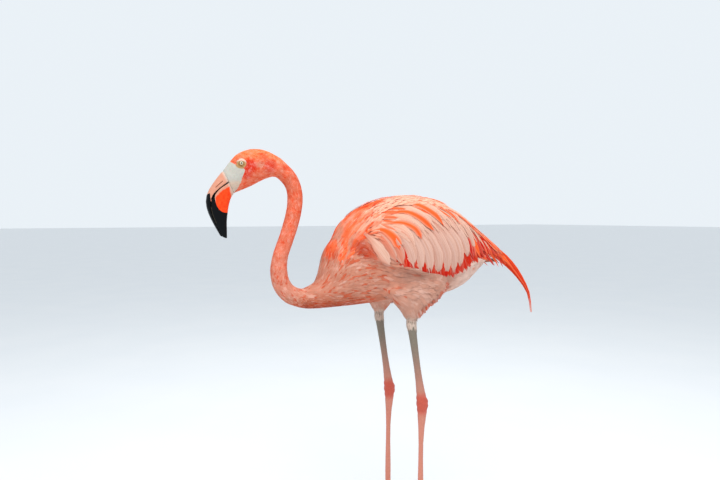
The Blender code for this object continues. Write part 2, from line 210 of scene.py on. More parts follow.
def outline_distance(flat, outline, closed=True):
    """Distance of side-view places from an outline, negative inside a closed one."""
    corners = np.array(outline + outline[:1] if closed else outline)
    nearest, inside = np.full(len(flat), np.inf), np.zeros(len(flat), bool)
    for run, _, offset, away in stretches(flat, corners):
        nearest = np.minimum(nearest, away)
        if closed and run[1]:
            crossing = (offset[:, 1] < 0) != (offset[:, 1] < run[1])
            inside ^= crossing & (offset[:, 0] < offset[:, 1] * run[0] / run[1])
    return np.where(inside, -nearest, nearest)


def link(thing):
    bpy.context.scene.collection.objects.link(thing)
    return thing


def plain_mesh(name, points, faces):
    mesh = bpy.data.meshes.new(name)
    mesh.from_pydata([tuple(point) for point in points], [], [tuple(face) for face in faces])
    mesh.shade_smooth()
    return mesh


def mesh_object(name, points, faces):
    return link(bpy.data.objects.new(name, plain_mesh(name, points, faces)))


def give(mesh, **layers):
    """Stores a value, a vector or, for tint and bare, a colour on each point under a name."""
    for name, values in layers.items():
        values = np.asarray(values, np.float32)
        kind, key = ("FLOAT", "value") if values.ndim == 1 else ("FLOAT_VECTOR", "vector")
        if name in ("tint", "bare"):
            kind, key = "FLOAT_COLOR", "color"
            values = np.pad(values, ((0, 0), (0, 1)), constant_values=1)
        mesh.attributes.new(name, kind, "POINT").data.foreach_set(key, values.ravel())


def vectors(items, key):
    values = np.empty(len(items) * 3, np.float32)
    items.foreach_get(key, values)
    return values.reshape(-1, 3).astype(float)


def points_of(mesh):
    return vectors(mesh.vertices, "co")


def normals_of(mesh):
    return vectors(mesh.vertex_normals, "vector")


def move_points(mesh, points):
    mesh.vertices.foreach_set("co", np.asarray(points, np.float32).ravel())
    mesh.update()


def relaxed(values, mesh, rounds, free=1.0):
    """Values eased towards their neighbours' mean."""
    values = np.array(values, float)
    ends = np.empty(len(mesh.edges) * 2, np.int32)
    mesh.edges.foreach_get("vertices", ends)
    a, b = ends.reshape(-1, 2).T
    count = np.bincount(ends, minlength=len(values))[:, None]
    for _ in range(rounds):
        total = [np.bincount(a, column[b], len(values)) + np.bincount(b, column[a], len(values))
                 for column in values.T]
        values += (np.stack(total, 1) / count - values) * 0.5 * free
    return values


def relax(mesh, rounds, free=1.0):
    """Moves each point towards its neighbours' middle."""
    move_points(mesh, relaxed(points_of(mesh), mesh, rounds, free))


def settle(thing):
    """Turns an object's modifiers into its plain mesh."""
    graph = bpy.context.evaluated_depsgraph_get()
    thing.data = bpy.data.meshes.new_from_object(thing.evaluated_get(graph))
    thing.modifiers.clear()
    thing.data.name = thing.name
    thing.data.shade_smooth()
    return thing


def piece(thing, slot, *nodes):
    """Hands a finished piece to the frame."""
    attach(thing, "root")
    if nodes:
        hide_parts(*nodes)
    return thing


def from_shape(name, shape):
    """A bmesh as a smooth object of the scene."""
    mesh = bpy.data.meshes.new(name)
    shape.to_mesh(mesh)
    shape.free()
    mesh.shade_smooth()
    return link(bpy.data.objects.new(name, mesh))


def merged(name, nodes, subdivisions=0):
    """One object of copies of CAD nodes, with each node's loose triangles joined up."""
    shape = bmesh.new()
    for node in nodes:
        shape.from_mesh(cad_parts[node].data)
    bmesh.ops.remove_doubles(shape, verts=shape.verts, dist=1e-6)
    for _ in range(subdivisions):
        bmesh.ops.subdivide_edges(shape, edges=shape.edges, cuts=1, use_grid_fill=True)
    return from_shape(name, shape)


def remeshed(thing, voxel, smoothing):
    """The solids of an object grown together as one smooth mesh."""
    grown = thing.modifiers.new("one_skin", "REMESH")
    grown.mode = "VOXEL"
    grown.voxel_size = voxel
    thing.modifiers.new("soften", "SMOOTH").iterations = smoothing
    return settle(thing)


# ---- the plumage's measures on the skin ---------------------------------------------------
def along_neck(points):
    """Each point's length along head and neck from the bill's root, and the direction in
    which the plumage lies there."""
    line = np.insert(NECK_LINE, 1, 0.0, axis=1)
    on_head = ease(0.222, 0.245, line[:, 0]) * ease(0.700, 0.750, line[:, 2])
    line = mix(line, turn_head(line), on_head)
    spans = np.diff(line, axis=0)
    lengths = np.linalg.norm(spans, axis=1)
    starts = np.concatenate(([0.0], np.cumsum(lengths)))
    best, place = np.full(len(points), np.inf), np.zeros(len(points))
    for k, (_, share, _, away) in enumerate(stretches(points, line)):
        place = np.where(away < best, starts[k] + share * lengths[k], place)
        best = np.minimum(away, best)
    middles = (starts[1:] + starts[:-1]) / 2
    ways = spans / lengths[:, None]
    return place, np.stack([np.interp(place, middles, way) for way in ways.T], 1)


def lie_of(points, normals):
    """The direction in which the plumage lies, in the skin's own surface."""
    place, neck_way = along_neck(points)
    flow = np.zeros((len(points), 3))
    for x, z, degrees in LIE_MARKS:
        away = (points[:, 0] - x / 1000) ** 2 + (points[:, 2] - z / 1000) ** 2
        weight = 1 / (away + LIE_REACH**2 / 8) ** 2
        angle = math.radians(degrees)
        flow += weight[:, None] * np.array((math.cos(angle), 0.0, math.sin(angle)))
    flow = unit(flow)
    way = mix(flow, neck_way, neck_share(points, place))
    way -= normals * np.sum(way * normals, axis=1)[:, None]
    return unit(way)


def neck_share(points, place):
    """1 on head and neck, 0 on the body."""
    return (1 - ease(NECK_END - 0.030, NECK_END + 0.010, place)) * ease(0.150, 0.190, points[:, 0])


def face_front(points):
    """How far, in metres, a point lies in front of the line where the face's feathers end."""
    local = turn_head(points, back=True)
    heights = (0.712, 0.7215, 0.7281, 0.7391, 0.7468, 0.7600, 0.7650, 0.7690, 0.7735, 0.7800)
    line = (0.3330, 0.3255, 0.3205, 0.3150, 0.3135, 0.3085, 0.3120, 0.3230, 0.3300, 0.3360)
    ragged = 0.0004 * np.sin(local[:, 2] * 2300) + 0.0003 * np.sin(local[:, 2] * 4100 + 1)
    return local[:, 0] - np.interp(local[:, 2], heights, line) - ragged


def eye_distance(points):
    """Each point's distance from the axis of the eye on its side, and its height along it."""
    local = turn_head(points, back=True)
    local[:, 1] = abs(local[:, 1])
    offset = local - EYE_CENTRE
    height = offset @ EYE_AXIS
    return np.linalg.norm(offset - height[:, None] * EYE_AXIS, axis=1), height


# Patches of colour on the face: middle in side view, reach, strength, colour.
FACE_PATCHES = (
    ((0.301, 0.767), 0.016, 0.90, CHEEK), ((0.306, 0.752), 0.012, 0.75, CHEEK),
    ((0.267, 0.769), 0.016, 0.70, CHEEK), ((0.277, 0.785), 0.010, 0.35, CHEEK),
    ((0.283, 0.771), 0.009, 0.75, SALMON),
)


def coat_tint(points):
    """The plumage's ground colour at each place."""
    place, _ = along_neck(points)
    local = turn_head(points, back=True)
    x, y, z = points.T
    body = layered(
        BREAST,
        # Towards the underside: the belly's colour, partly painted shade.
        (BELLY_WITH_SHADE, ease(0.548, 0.512, z) * ease(-0.02, 0.05, x)),
        (BACK, ease(0.625, 0.675, z)),
        (FLANK, ease(0.075, 0.030, x) * ease(0.602, 0.585, z)),
        (VENT, ease(-0.075, -0.125, x) * ease(0.610, 0.588, z)),
        *((ORANGE, 0.85 * ease(0.0052, 0.0016, line_distance(points, sweep))) for sweep in SWEEPS),
        (WRIST, 0.85 * ease(0.024, 0.010, np.hypot(x - 0.108, z - 0.620))),
        (RUST, 0.7 * ease(0.011, 0.003, line_distance(points, FRINGE))),
        (THIGH_END, ease(0.506, 0.486, z) * (abs(y) > LEGS_APART)),
    )
    neck = layered(
        CORAL,
        (SALMON, ease(0.20, 0.36, place)),
        # Low on the neck: the belly's colour, partly painted shade of the underside.
        (BELLY_WITH_SHADE, 0.85 * ease(0.548, 0.520, z)),
        (CROWN, ease(0.768, 0.790, z) * (place < 0.12)),
    )
    for middle, reach, depth, patch in FACE_PATCHES:
        away = np.hypot(*(local[:, [0, 2]] - middle).T)
        neck = mix(neck, patch, depth * ease(reach, reach * 0.35, away) * (place < 0.13))
    on_neck = (1 - ease(NECK_END - 0.09, NECK_END + 0.015, place)) * ease(0.150, 0.19, x)
    # Deeper red low on the breast's front: partly painted shade of the underside.
    lowest_shade = 0.75 * ease(0.538, 0.512, z) * ease(0.055, 0.110, x)
    return layered(body, (neck, on_neck), (WRIST, lowest_shade))


def stripe_place(points):
    """Places in which stripes of the plumage's tone run along its lie."""
    place, _ = along_neck(points)
    x, y, z = points.T
    reach = np.hypot(x - 0.030, z - 0.600)
    round_back = np.arctan2(z - 0.600, x - 0.030)
    upper = np.stack((reach / 0.0042, round_back * 2.4, 3.0 * np.sign(y)), 1)
    flank = np.stack(((z + 0.28 * x) / 0.0050, x / 0.034, 20 + 3.0 * np.sign(y)), 1)
    front = points / 0.0055
    stripes = np.where((z > 0.625)[:, None], upper, np.where((x < 0.075)[:, None], flank, front))
    return np.where((place < NECK_END)[:, None] & (x > 0.16)[:, None], points / 0.0065, stripes)


def fleck_share(points):
    """The share of feathers that stand out in a deeper red."""
    place, _ = along_neck(points)
    x, _, z = points.T
    share = 0.41 * ease(0.02, 0.09, x) * ease(0.505, 0.530, z)
    share = np.maximum(share, 0.36 * ease(0.630, 0.660, z) * ease(-0.02, 0.07, x))
    share = np.maximum(share, 0.26) * (0.2 + 0.8 * ease(0.490, 0.512, z))
    return np.where((place < NECK_END) & (x > 0.16), 0.35, share)


# ---- skin ---------------------------------------------------------------------------------
BODY_FLESH = (
    "trunk", "neck_root", "neck_lower", "neck_middle", "neck_upper", "head",
    "wing_left", "wing_right", "thigh_left", "thigh_right",
)
LEG_PARTS = ("shank", "ankle", "tarsus", "foot")
LEG_TOP = 0.500  # the bare leg begins here, inside the thigh's plumage
LEG_FOOT = 0.0125
ANKLE_Z = 0.321
LEGS_APART = 0.03  # farther aside than this it is the leg's own plumage
NECK_TOP = 0.70  # the head lies above this
LEG_RINGS = 280
LEG_SIDES = 28
SKIN_VOXEL = 0.0034
SCUTE = 0.0046  # height of one scute of the leg
CLAW_REACH = 0.0012  # a toe's skin nearer to its claw than this is drawn onto it


def coat_depth(points):
    """How far the skin lies under the plumage's outside."""
    place, _ = along_neck(points)
    x, y, z = points.T
    wing = ease(0.004, -0.010, outline_distance(points[:, [0, 2]], WING_FIELD))
    depth = 0.0020 + (0.0020 + 0.0042 * wing) * ease(0.34, 0.43, place)
    depth = np.where(place < HEAD_END, 0.0013, depth)
    leg = ease(0.540, 0.480, z) * (abs(y) > LEGS_APART) * (x < 0.06)
    depth = depth + (0.0030 - depth) * leg
    bare = ease(-0.003, 0.001, face_front(points)) * (place < 0.06)
    return depth * (1 - bare) + 0.0002 * bare


def refined(thing, chosen, rounds):
    """Cuts the edges between chosen points in two, and their faces with them, in each round."""
    for _ in range(rounds):
        shape = bmesh.new()
        shape.from_mesh(thing.data)
        corners = np.array([vertex.co for vertex in shape.verts])
        near = chosen(corners)
        edges = [edge for edge in shape.edges if all(near[end.index] for end in edge.verts)]
        bmesh.ops.subdivide_edges(shape, edges=edges, cuts=1, use_grid_fill=True)
        shape.to_mesh(thing.data)
        shape.free()
    thing.data.shade_smooth()


def body_skin():
    """The flesh as one smooth skin, inside the solids by the coat's depth."""
    thing = merged("skin", BODY_FLESH + ("eye_left", "eye_right"))
    thing = remeshed(thing, SKIN_VOXEL, 6)
    mesh = thing.data
    points = points_of(mesh)
    depth = relaxed(coat_depth(points)[:, None], mesh, 4)
    points = relaxed(points - normals_of(mesh) * depth, mesh, 2)
    _, y, z = points.T
    cuff = ease(0.456, 0.464, z) * ease(0.520, 0.500, z) * (abs(y) > LEGS_APART)
    move_points(mesh, relaxed(points, mesh, 40, cuff[:, None]))
    refined(thing, lambda points: (points[:, 0] > 0.262) & (points[:, 2] > NECK_TOP), 2)
    relax(mesh, 3)
    local = turn_head(points_of(mesh), back=True)
    lore = ease(0.312, 0.320, local[:, 0]) * ease(0.715, 0.725, local[:, 2])
    relax(mesh, 14, lore[:, None])
    points = points_of(mesh)
    local = turn_head(points, back=True)
    ahead = (local[:, [0, 2]] - BILL_ROOT) @ BILL_WAY
    swell = 0.0007 * ease(-0.008, -0.001, ahead) * (points[:, 0] > 0.29) * (points[:, 2] > NECK_TOP)
    move_points(mesh, points + normals_of(mesh) * swell[:, None])
    for reach in (0.011, 0.0062):
        refined(thing, lambda points: (eye_distance(points)[0] < reach) & (points[:, 2] > NECK_TOP), 1)
    move_points(mesh, shaped_face(points_of(mesh)))
    return thing


def shaped_face(points):
    """The head's skin with its eye openings, lids and the folds of the bare face."""
    around, height = eye_distance(points)
    local = turn_head(points, back=True)
    on_head = (local[:, 0] > 0.27) & (local[:, 2] > 0.71)
    ball = np.sqrt(np.clip(EYE_RADIUS**2 - np.minimum(around, 0.0054) ** 2, 0, None))
    rim, crease, fold = (
        bell(around - LID_RADIUS, middle, width)
        for middle, width in ((0.0006, 0.0006), (0.0019, 0.0005), (0.0032, 0.0007))
    )
    whole_ball = np.sqrt(np.clip((EYE_RADIUS + 0.0009) ** 2 - around**2, 0, None)) - 0.0004
    lid = ball + 0.0004
    level = height + (lid - height) * ease(LID_RADIUS + 0.0046, LID_RADIUS + 0.0006, around)
    level = np.maximum(level, whole_ball + 0.0006)
    level = level + 0.0004 * rim - 0.0003 * crease + 0.0003 * fold
    target = np.where(around < LID_RADIUS, ball - 0.0010, level)
    push = (target - height) * (around < LID_RADIUS + 0.0055) * on_head
    brow = np.hypot((local[:, 0] - 0.3125) / 0.012, (local[:, 2] - 0.7800) / 0.0026)
    push += 0.0007 * ease(1.0, 0.2, brow) * on_head
    lore = np.hypot((local[:, 0] - 0.3275) / 0.011, (local[:, 2] - 0.7580) / 0.010)
    push -= 0.0006 * ease(1.0, 0.0, lore) * on_head
    axis = np.broadcast_to(EYE_AXIS, points.shape).copy()
    axis[:, 1] *= np.where(local[:, 1] < 0, -1, 1)
    return points + (turn_head(axis + TURN_PIVOT) - TURN_PIVOT) * push[:, None]


def tree_of(*nodes):
    """A search tree over CAD nodes' surfaces."""
    corners, faces = [], []
    for node in nodes:
        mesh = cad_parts[node].data
        first = len(corners)
        corners.extend(vertex.co.copy() for vertex in mesh.vertices)
        faces.extend([first + k for k in face.vertices] for face in mesh.polygons)
    return BVHTree.FromPolygons(corners, faces)


def leg_rings(name, side):
    """Rings of the bare leg down one side, taken from the solids and cut into scutes."""
    tree = tree_of(*(f"{part}_{name}" for part in LEG_PARTS[:3]))
    middle_y = sum(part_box(f"shank_{name}"), Vector()).y / 2
    turns = np.linspace(0, 2 * math.pi, LEG_SIDES, endpoint=False)

    def touch(start, way):
        return tree.ray_cast(Vector(start), Vector(way))[0]

    rings, size = [], None
    for z in np.linspace(LEG_TOP, LEG_FOOT, LEG_RINGS):
        front, rear = (touch((sign * 0.2, middle_y, z), (-sign, 0, 0)) for sign in (1, -1))
        if front and rear:
            middle_x = (front.x + rear.x) / 2
            across = touch((middle_x, middle_y + side * 0.1, z), (0, -side, 0))
            if across:
                size = (middle_x, (front.x - rear.x) / 2, abs(across.y - middle_y))
        rings.append((z, size))
    known = next(size for _, size in rings if size)
    points = []
    for z, size in rings:
        middle_x, depth, width = size or known
        bands = z / SCUTE
        groove = bell((bands + 0.12 * np.cos(turns * 2)) % 1, 0.5, 0.13)
        cells = np.abs(np.sin(turns * 6 + (math.floor(bands) % 2) * 1.6)) ** 0.5
        ridge = 0.0004 * ease(0.030, 0.008, abs(z - ANKLE_Z)) * np.sin(turns * 3 + z * 500)
        behind = 1 - ease(-0.2, 0.5, np.cos(turns))
        sink = 0.00010 + 0.00018 * groove + 0.0002 * behind * (1 - cells)
        girth = (1 - (sink - ridge) / width) * (1 - 0.35 * ease(0.480, LEG_TOP, z))
        ring = (middle_x + np.cos(turns) * depth * girth, middle_y + np.sin(turns) * width * girth)
        points += zip(*ring, [z] * LEG_SIDES)
    return points


def tube(first, rings, sides):
    """The faces between rings of points, each ring with as many sides."""
    at = first + np.arange(rings * sides).reshape(rings, sides)
    after = np.roll(at, -1, 1)
    return np.stack((at[:-1], at[1:], after[1:], after[:-1]), -1).reshape(-1, 4).tolist()


def leg_skin(name, side):
    """The bare leg as a closed tube."""
    ends = range(LEG_SIDES), reversed(range((LEG_RINGS - 1) * LEG_SIDES, LEG_RINGS * LEG_SIDES))
    faces = tube(0, LEG_RINGS, LEG_SIDES) + [tuple(end) for end in ends]
    return mesh_object(f"leg_skin_{name}", leg_rings(name, side), faces)


def foot_skin(name):
    """The webbed foot, faintly ridged, with its toes' ends drawn onto the claws."""
    thing = merged(f"foot_skin_{name}", (f"foot_{name}",), 2)
    mesh = thing.data
    points = relaxed(points_of(mesh), mesh, 2, (points_of(mesh)[:, 2] > 0.0004)[:, None])
    heel = np.array(sum(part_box(f"tarsus_{name}"), Vector())) / 2
    aside = points[:, :2] - heel[:2]
    reach = np.hypot(*aside.T)
    raised = ease(0.0020, 0.0040, points[:, 2])
    wave = bell((reach / 0.0028) % 1, 0.5, 0.15)
    web = ease(0.0024, 0.0014, points[:, 2]) * ease(0.0006, 0.0012, points[:, 2])
    turn = np.arctan2(aside[:, 1], aside[:, 0])
    crinkle = np.sin(reach * 1900 + np.sin(turn * 9) * 3) * np.sin(turn * 40)
    points[:, 2] -= 0.00035 * wave * raised - 0.00012 * crinkle * web
    claws = tree_of(*(f"claw_{name}_{toe}" for toe in ("inner", "middle", "outer")))
    for k, point in enumerate(points):
        touch, _, _, away = claws.find_nearest(Vector(point), CLAW_REACH)
        if touch is not None:
            points[k] += (np.array(touch) - point) * (1.0 + 0.0004 / max(away, 0.0002))
    move_points(mesh, points)
    mesh.shade_smooth()
    return thing


def joined(name, things):
    """Several meshes as one object."""
    shape = bmesh.new()
    for thing in things:
        shape.from_mesh(thing.data)
        bpy.data.objects.remove(thing)
    return from_shape(name, shape)


def mark_skin(mesh):
    """Stores what the plumage and the skin's colours need on the skin."""
    points, normals = points_of(mesh), normals_of(mesh)
    x, y, z = points.T
    place, _ = along_neck(points)
    around, _ = eye_distance(points)
    eye_ring = ease(LID_RADIUS + 0.0042, LID_RADIUS + 0.0052, around)
    feathered = np.where(place < 0.06, ease(-0.0005, -0.0020, face_front(points)) * eye_ring, 1.0)
    neck = neck_share(points, place)
    wing = ease(0.002, -0.003, outline_distance(points[:, [0, 2]], WING_FIELD)) * (normals[:, 2] > -0.6)
    wing = wing * (1 - neck)
    upper = ease(0.632, 0.662, z + 0.25 * (x - 0.10).clip(0)) * (1 - neck) * (1 - wing)
    thigh = ease(0.510, 0.494, z) * (abs(y) > LEGS_APART) * (1 - neck)
    vent = ease(-0.085, -0.115, x) * ease(0.600, 0.585, z) * (1 - neck)
    lower = (1 - neck) * (1 - wing) * (1 - upper) * (1 - thigh) * (1 - vent)
    leg = (z < 0.464) | is_leg_top(points)
    body = ~leg
    flank = ease(0.100, 0.070, x) * ease(-0.075, -0.060, x) * ease(0.525, 0.545, z)
    seam = ease(0.012, 0.006, line_distance(points, WING_SEAM))
    cuff = ease(0.472, 0.478, z) * ease(0.500, 0.494, z) * is_leg_top(points)
    size = np.where(place < 0.11, 0.75 + 0.5 * ease(0.03, 0.10, place), 1.0)
    size = size * (1 - 0.45 * ease(0.016, 0.006, around) * (place < 0.06))
    size = np.where((place >= HEAD_END) & (neck > 0.5), 0.8 + 0.4 * ease(0.12, 0.38, place), size)
    size = size * (1 - 0.25 * ease(0.52, 0.48, z))
    size = size * (0.76 + 0.70 * ease(0.125, 0.030, x)) ** (1.0 * (neck < 0.5) * (z > 0.50) * (upper < 0.5))
    size = size * (1 - 0.45 * ease(NECK_END + 0.10, NECK_END + 0.01, place) * (neck < 0.5))
    give(
        mesh, lie=lie_of(points, normals), tint=coat_tint(points), fleck=fleck_share(points),
        stripe=stripe_place(points), size=np.where(leg, 0.85, size),
        on_face=feathered * (place < HEAD_END) * body,
        on_neck=(neck > 0.15) * (place >= HEAD_END) * body,
        on_breast=lower * (neck < 0.5) * body,
        on_flank=lower * body * flank,
        on_wing=wing * body,
        on_seam=seam * (abs(y) > 0.006) * body,
        on_back=upper * body,
        on_thigh=np.maximum(thigh * body, cuff),
        on_fringe=ease(0.010, 0.004, line_distance(points, FRINGE)) * (abs(y) > 0.05),
        on_vent=vent * body,
        bare=bare_colour(points), bareness=np.where(leg, 1.0, 1 - feathered), legness=leg,
    )


def is_leg_top(points):
    """The tops of the bare legs, which lie inside the thighs."""
    _, y, z = points.T
    return (z < LEG_TOP + 0.0005) & (np.hypot(points[:, 0] - 0.0035, abs(y) - 0.060) < 0.0105)


LORE = paint(190, 188, 178)
CREAM = paint(206, 184, 164)
GOLD = paint(178, 134, 80)
GOLD_DEEP = paint(140, 98, 40)
GOLD_PALE = paint(206, 170, 118)
LID_PINK = paint(238, 188, 170)
LEG_GREY = paint(128, 118, 104)
LEG_PINK = paint(206, 132, 112)
JOINT_RED = paint(196, 86, 68)
WEB_PINK = paint(196, 118, 98)


def bare_colour(points):
    """The colours of the bare face and of the legs."""
    x, _, z = turn_head(points, back=True).T
    around, _ = eye_distance(points)
    ring_x, ring_z = (x - 0.3134) / 0.0092, (z - 0.7694) / 0.0066
    ring = ease(1.12, 0.94, np.hypot(ring_x, ring_z))
    folds = 0.5 + 0.5 * np.cos((around - LID_RADIUS) / 0.0016 * 2 * math.pi)
    front_low = ease(-0.2, 0.6, ring_x - ring_z)
    face = layered(
        LORE, (CREAM, ease(0.745, 0.738, z)), (LID_PINK, ease(0.7745, 0.7765, z) * (x < 0.328)),
        (GOLD, ring),
        (GOLD_PALE, 0.6 * folds * ease(LID_RADIUS + 0.006, LID_RADIUS + 0.003, around) * ring),
        (GOLD_DEEP, 0.8 * front_low * ease(LID_RADIUS + 0.0022, LID_RADIUS + 0.0008, around)),
        # Painted shade, black in the gap where the lids meet the eyeball.
        (LID_GAP_SHADE, 0.85 * ease(LID_RADIUS + 0.0002, LID_RADIUS - 0.0002, around)),
    )
    height = points[:, 2]
    leg = layered(
        LEG_GREY, (LEG_PINK, ease(0.45, 0.30, height)),
        (JOINT_RED, ease(0.028, 0.010, abs(height - ANKLE_Z))),
        (JOINT_RED, ease(0.050, 0.015, height) * ease(0.004, 0.007, height)),
        (WEB_PINK, ease(0.0045, 0.0025, height)),
    )
    return np.where((height > 0.55)[:, None], face, leg)


def make_skin():
    """The one skin of body, legs and feet, with its unwrap."""
    parts = [body_skin()] + [leg_skin(*side) for side in SIDES] + [foot_skin(name) for name, _ in SIDES]
    thing = joined("skin", parts)
    mark_skin(thing.data)
    bpy.context.view_layer.objects.active = thing
    thing.select_set(True)
    thing.data.uv_layers.new(name="skin_unwrap")
    bpy.ops.object.mode_set(mode="EDIT")
    bpy.ops.mesh.select_all(action="SELECT")
    bpy.ops.uv.smart_project(angle_limit=math.radians(66), island_margin=0.002)
    bpy.ops.object.mode_set(mode="OBJECT")
    thing.select_set(False)
    return thing


# ---- nodes --------------------------------------------------------------------------------
class Wire:
    """A node's output. Sums, differences and products of wires add Math nodes."""

    def __init__(self, tree, socket):
        self.tree, self.socket = tree, socket

    def __add__(self, other):
        return self.tree.maths("ADD", self, other)

    def __radd__(self, other):
        return self.tree.maths("ADD", other, self)

    def __sub__(self, other):
        return self.tree.maths("SUBTRACT", self, other)

    def __rsub__(self, other):
        return self.tree.maths("SUBTRACT", other, self)

    def __mul__(self, other):
        return self.tree.maths("MULTIPLY", self, other)


class Node:
    """A node whose outputs are found as wires, by name or place."""

    def __init__(self, tree, node):
        self.tree, self.node = tree, node

    def __getitem__(self, output):
        return Wire(self.tree, self.node.outputs[output])


class Tree:
    """A shader or geometry tree and the nodes that are added to it most."""

    def __init__(self, tree):
        self.tree = tree

    def feed(self, socket, source):
        """Links an input to a wire, or sets it to a plain value."""
        if isinstance(source, Wire):
            self.tree.links.new(source.socket, socket)
        else:
            socket.default_value = (*source, 1.0) if socket.type == "RGBA" else source

    def add(self, kind, inputs=None, **settings):
        node = self.tree.nodes.new(kind)
        for name, value in settings.items():
            setattr(node, name, value)
        for name, source in (inputs or {}).items():
            self.feed(node.inputs[name], source)
        return Node(self, node)

    def maths(self, operation, first, second=0.0):
        return self.add("ShaderNodeMath", {0: first, 1: second}, operation=operation)[0]

    def vector(self, operation, *inputs):
        return self.add("ShaderNodeVectorMath", dict(enumerate(inputs)), operation=operation)

    def ramp(self, value, low, high):
        """0 at low and before it, 1 at high and past it, and a smooth change between."""
        inputs = {"Value": value, "From Min": low, "From Max": high}
        return self.add("ShaderNodeMapRange", inputs, interpolation_type="SMOOTHSTEP")[0]

    def blend(self, share, first, second, kind="MIX"):
        """A blend of two colours."""
        inputs = {0: share, 6: first, 7: second}
        return self.add("ShaderNodeMix", inputs, data_type="RGBA", blend_type=kind)[2]

    def noise(self, place, scale, detail):
        return self.add("ShaderNodeTexNoise", {"Vector": place, "Scale": scale, "Detail": detail})[0]

    def read(self, name, output="Fac"):
        """A shader's value of a stored attribute."""
        return self.add("ShaderNodeAttribute", attribute_name=name)[output]

    def joined(self, x, y, z=0.0):
        return self.add("ShaderNodeCombineXYZ", {0: x, 1: y, 2: z})[0]

    def split(self, vector):
        return self.add("ShaderNodeSeparateXYZ", {0: vector})

    def use(self, group, **inputs):
        return self.add("ShaderNodeGroup", inputs, node_tree=group)

    def out(self, **outputs):
        """Ends a node group with its outputs."""
        self.add("NodeGroupOutput", outputs)

    def shade(self, **inputs):
        """Feeds the material's Principled shader."""
        for name, source in inputs.items():
            self.feed(self.tree.nodes["Principled BSDF"].inputs[name.replace("_", " ")], source)

    def bump(self, height, distance, strength, **inputs):
        inputs |= {"Height": height, "Distance": distance, "Strength": strength}
        self.shade(Normal=self.add("ShaderNodeBump", inputs)[0])


def new_group(name, kind, inputs, outputs):
    """A node group with its sockets, and the node that gives its inputs."""
    group = bpy.data.node_groups.new(name, kind)
    for way, sockets in (("INPUT", inputs), ("OUTPUT", outputs)):
        for label, (sort, *value) in sockets.items():
            socket = group.interface.new_socket(label, in_out=way, socket_type=f"NodeSocket{sort}")
            if value:
                socket.default_value = value[0]
    tree = Tree(group)
    return tree, tree.add("NodeGroupInput")


def barbs_group():
    """Fine slanting barbs on both sides of a shaft, and the shaft itself."""
    tree, given = new_group(
        "barbs", "ShaderNodeTree",
        {"Vane": ("Vector",), "Barbs": ("Float", 90.0), "Slant": ("Float", 0.6)},
        {"Height": ("Float",), "Shaft": ("Float",)},
    )
    vane = tree.split(given["Vane"])
    aside = tree.maths("ABSOLUTE", vane[0])
    slanted = vane[1] - aside * given["Slant"] * 0.25
    shaft = tree.ramp(aside, 0.10, 0.03)
    tree.out(Height=tree.maths("SINE", slanted * given["Barbs"]) + shaft, Shaft=shaft)
    return tree.tree


def mottle_group():
    """Soft uneven patches between 0 and 1."""
    tree, given = new_group(
        "mottle", "ShaderNodeTree", {"Scale": ("Float", 100.0), "Contrast": ("Float", 0.2)},
        {"Value": ("Float",)},
    )
    noise = tree.noise(tree.add("ShaderNodeTexCoord")["Object"], given["Scale"], 3.0)
    limits = {1: 0.5 - given["Contrast"], 2: 0.5 + given["Contrast"]}
    tree.out(Value=tree.add("ShaderNodeMapRange", {0: noise} | limits)[0])
    return tree.tree


def grain_group():
    """Small cells of leathery skin, as a height."""
    tree, given = new_group("grain", "ShaderNodeTree", {"Scale": ("Float", 900.0)}, {"Height": ("Float",)})
    inputs = {"Vector": tree.add("ShaderNodeTexCoord")["Object"], "Scale": given["Scale"]}
    cells = tree.add("ShaderNodeTexVoronoi", inputs, feature="DISTANCE_TO_EDGE")[0]
    tree.out(Height=tree.ramp(cells, 0.0, 0.25))
    return tree.tree


BARBS = barbs_group()
MOTTLE = mottle_group()
GRAIN = grain_group()


def material(name, **sockets):
    """A new material and its tree."""
    finish = bpy.data.materials.new(name)
    finish.use_nodes = True
    tree = Tree(finish.node_tree)
    tree.shade(**sockets)
    return finish, tree


def plumage_material():
    """Small feathers: the ground colour, single deeper ones, pale tips and fine barbs."""
    finish, tree = material("plumage", Roughness=0.8, Specular_IOR_Level=0.12)
    tint, tone, vane = tree.read("tint", "Color"), tree.read("tone"), tree.read("vane", "Vector")
    along = tree.split(vane)[1]
    deep = tree.blend(1.0, tint, (0.98, 0.36, 0.20), "MULTIPLY")
    pale = tree.blend(0.34, tint, (1.0, 0.80, 0.72))
    edge = 1.0 - tree.read("fleck")
    flecked = tree.ramp(tone, edge, edge + 0.12)
    # The share of the deeper red: single flecked feathers, and a little towards every feather's root,
    # partly its own deeper base and partly painted shade under the feathers above.
    shade = tree.maths("MAXIMUM", flecked * 0.8, tree.ramp(along, 0.75, 0.15) * 0.06)
    ground = tree.blend(tree.ramp(tone, 0.5, 0.1) * 0.62, tint, pale)
    colour = tree.blend(shade, ground, deep)
    tip = tree.ramp(along, 0.70, 1.0) * 0.6 * (1.0 - flecked)
    light = 0.90 + tree.use(MOTTLE, Scale=70.0, Contrast=0.16)[0] * 0.16
    grey = tree.add("ShaderNodeCombineColor", {0: light, 1: light, 2: light})[0]
    tree.shade(Base_Color=tree.blend(1.0, tree.blend(tip, colour, pale), grey, "MULTIPLY"))
    # Towards the skin's own normal, so that overlapping blades shade as one coat.
    own = tree.add("ShaderNodeNewGeometry")["Normal"]
    up = tree.read("skin_up", "Vector")
    share = tree.ramp(tree.vector("DOT_PRODUCT", own, up)["Value"], 0.05, 0.35) * 0.7
    soft = tree.add("ShaderNodeMix", {0: share, 4: own, 5: up}, data_type="VECTOR")[1]
    barbs = tree.use(BARBS, Vane=vane, Barbs=60.0)["Height"]
    tree.bump(barbs, 0.00012, 0.4, Normal=tree.vector("NORMALIZE", soft)[0])
    return finish


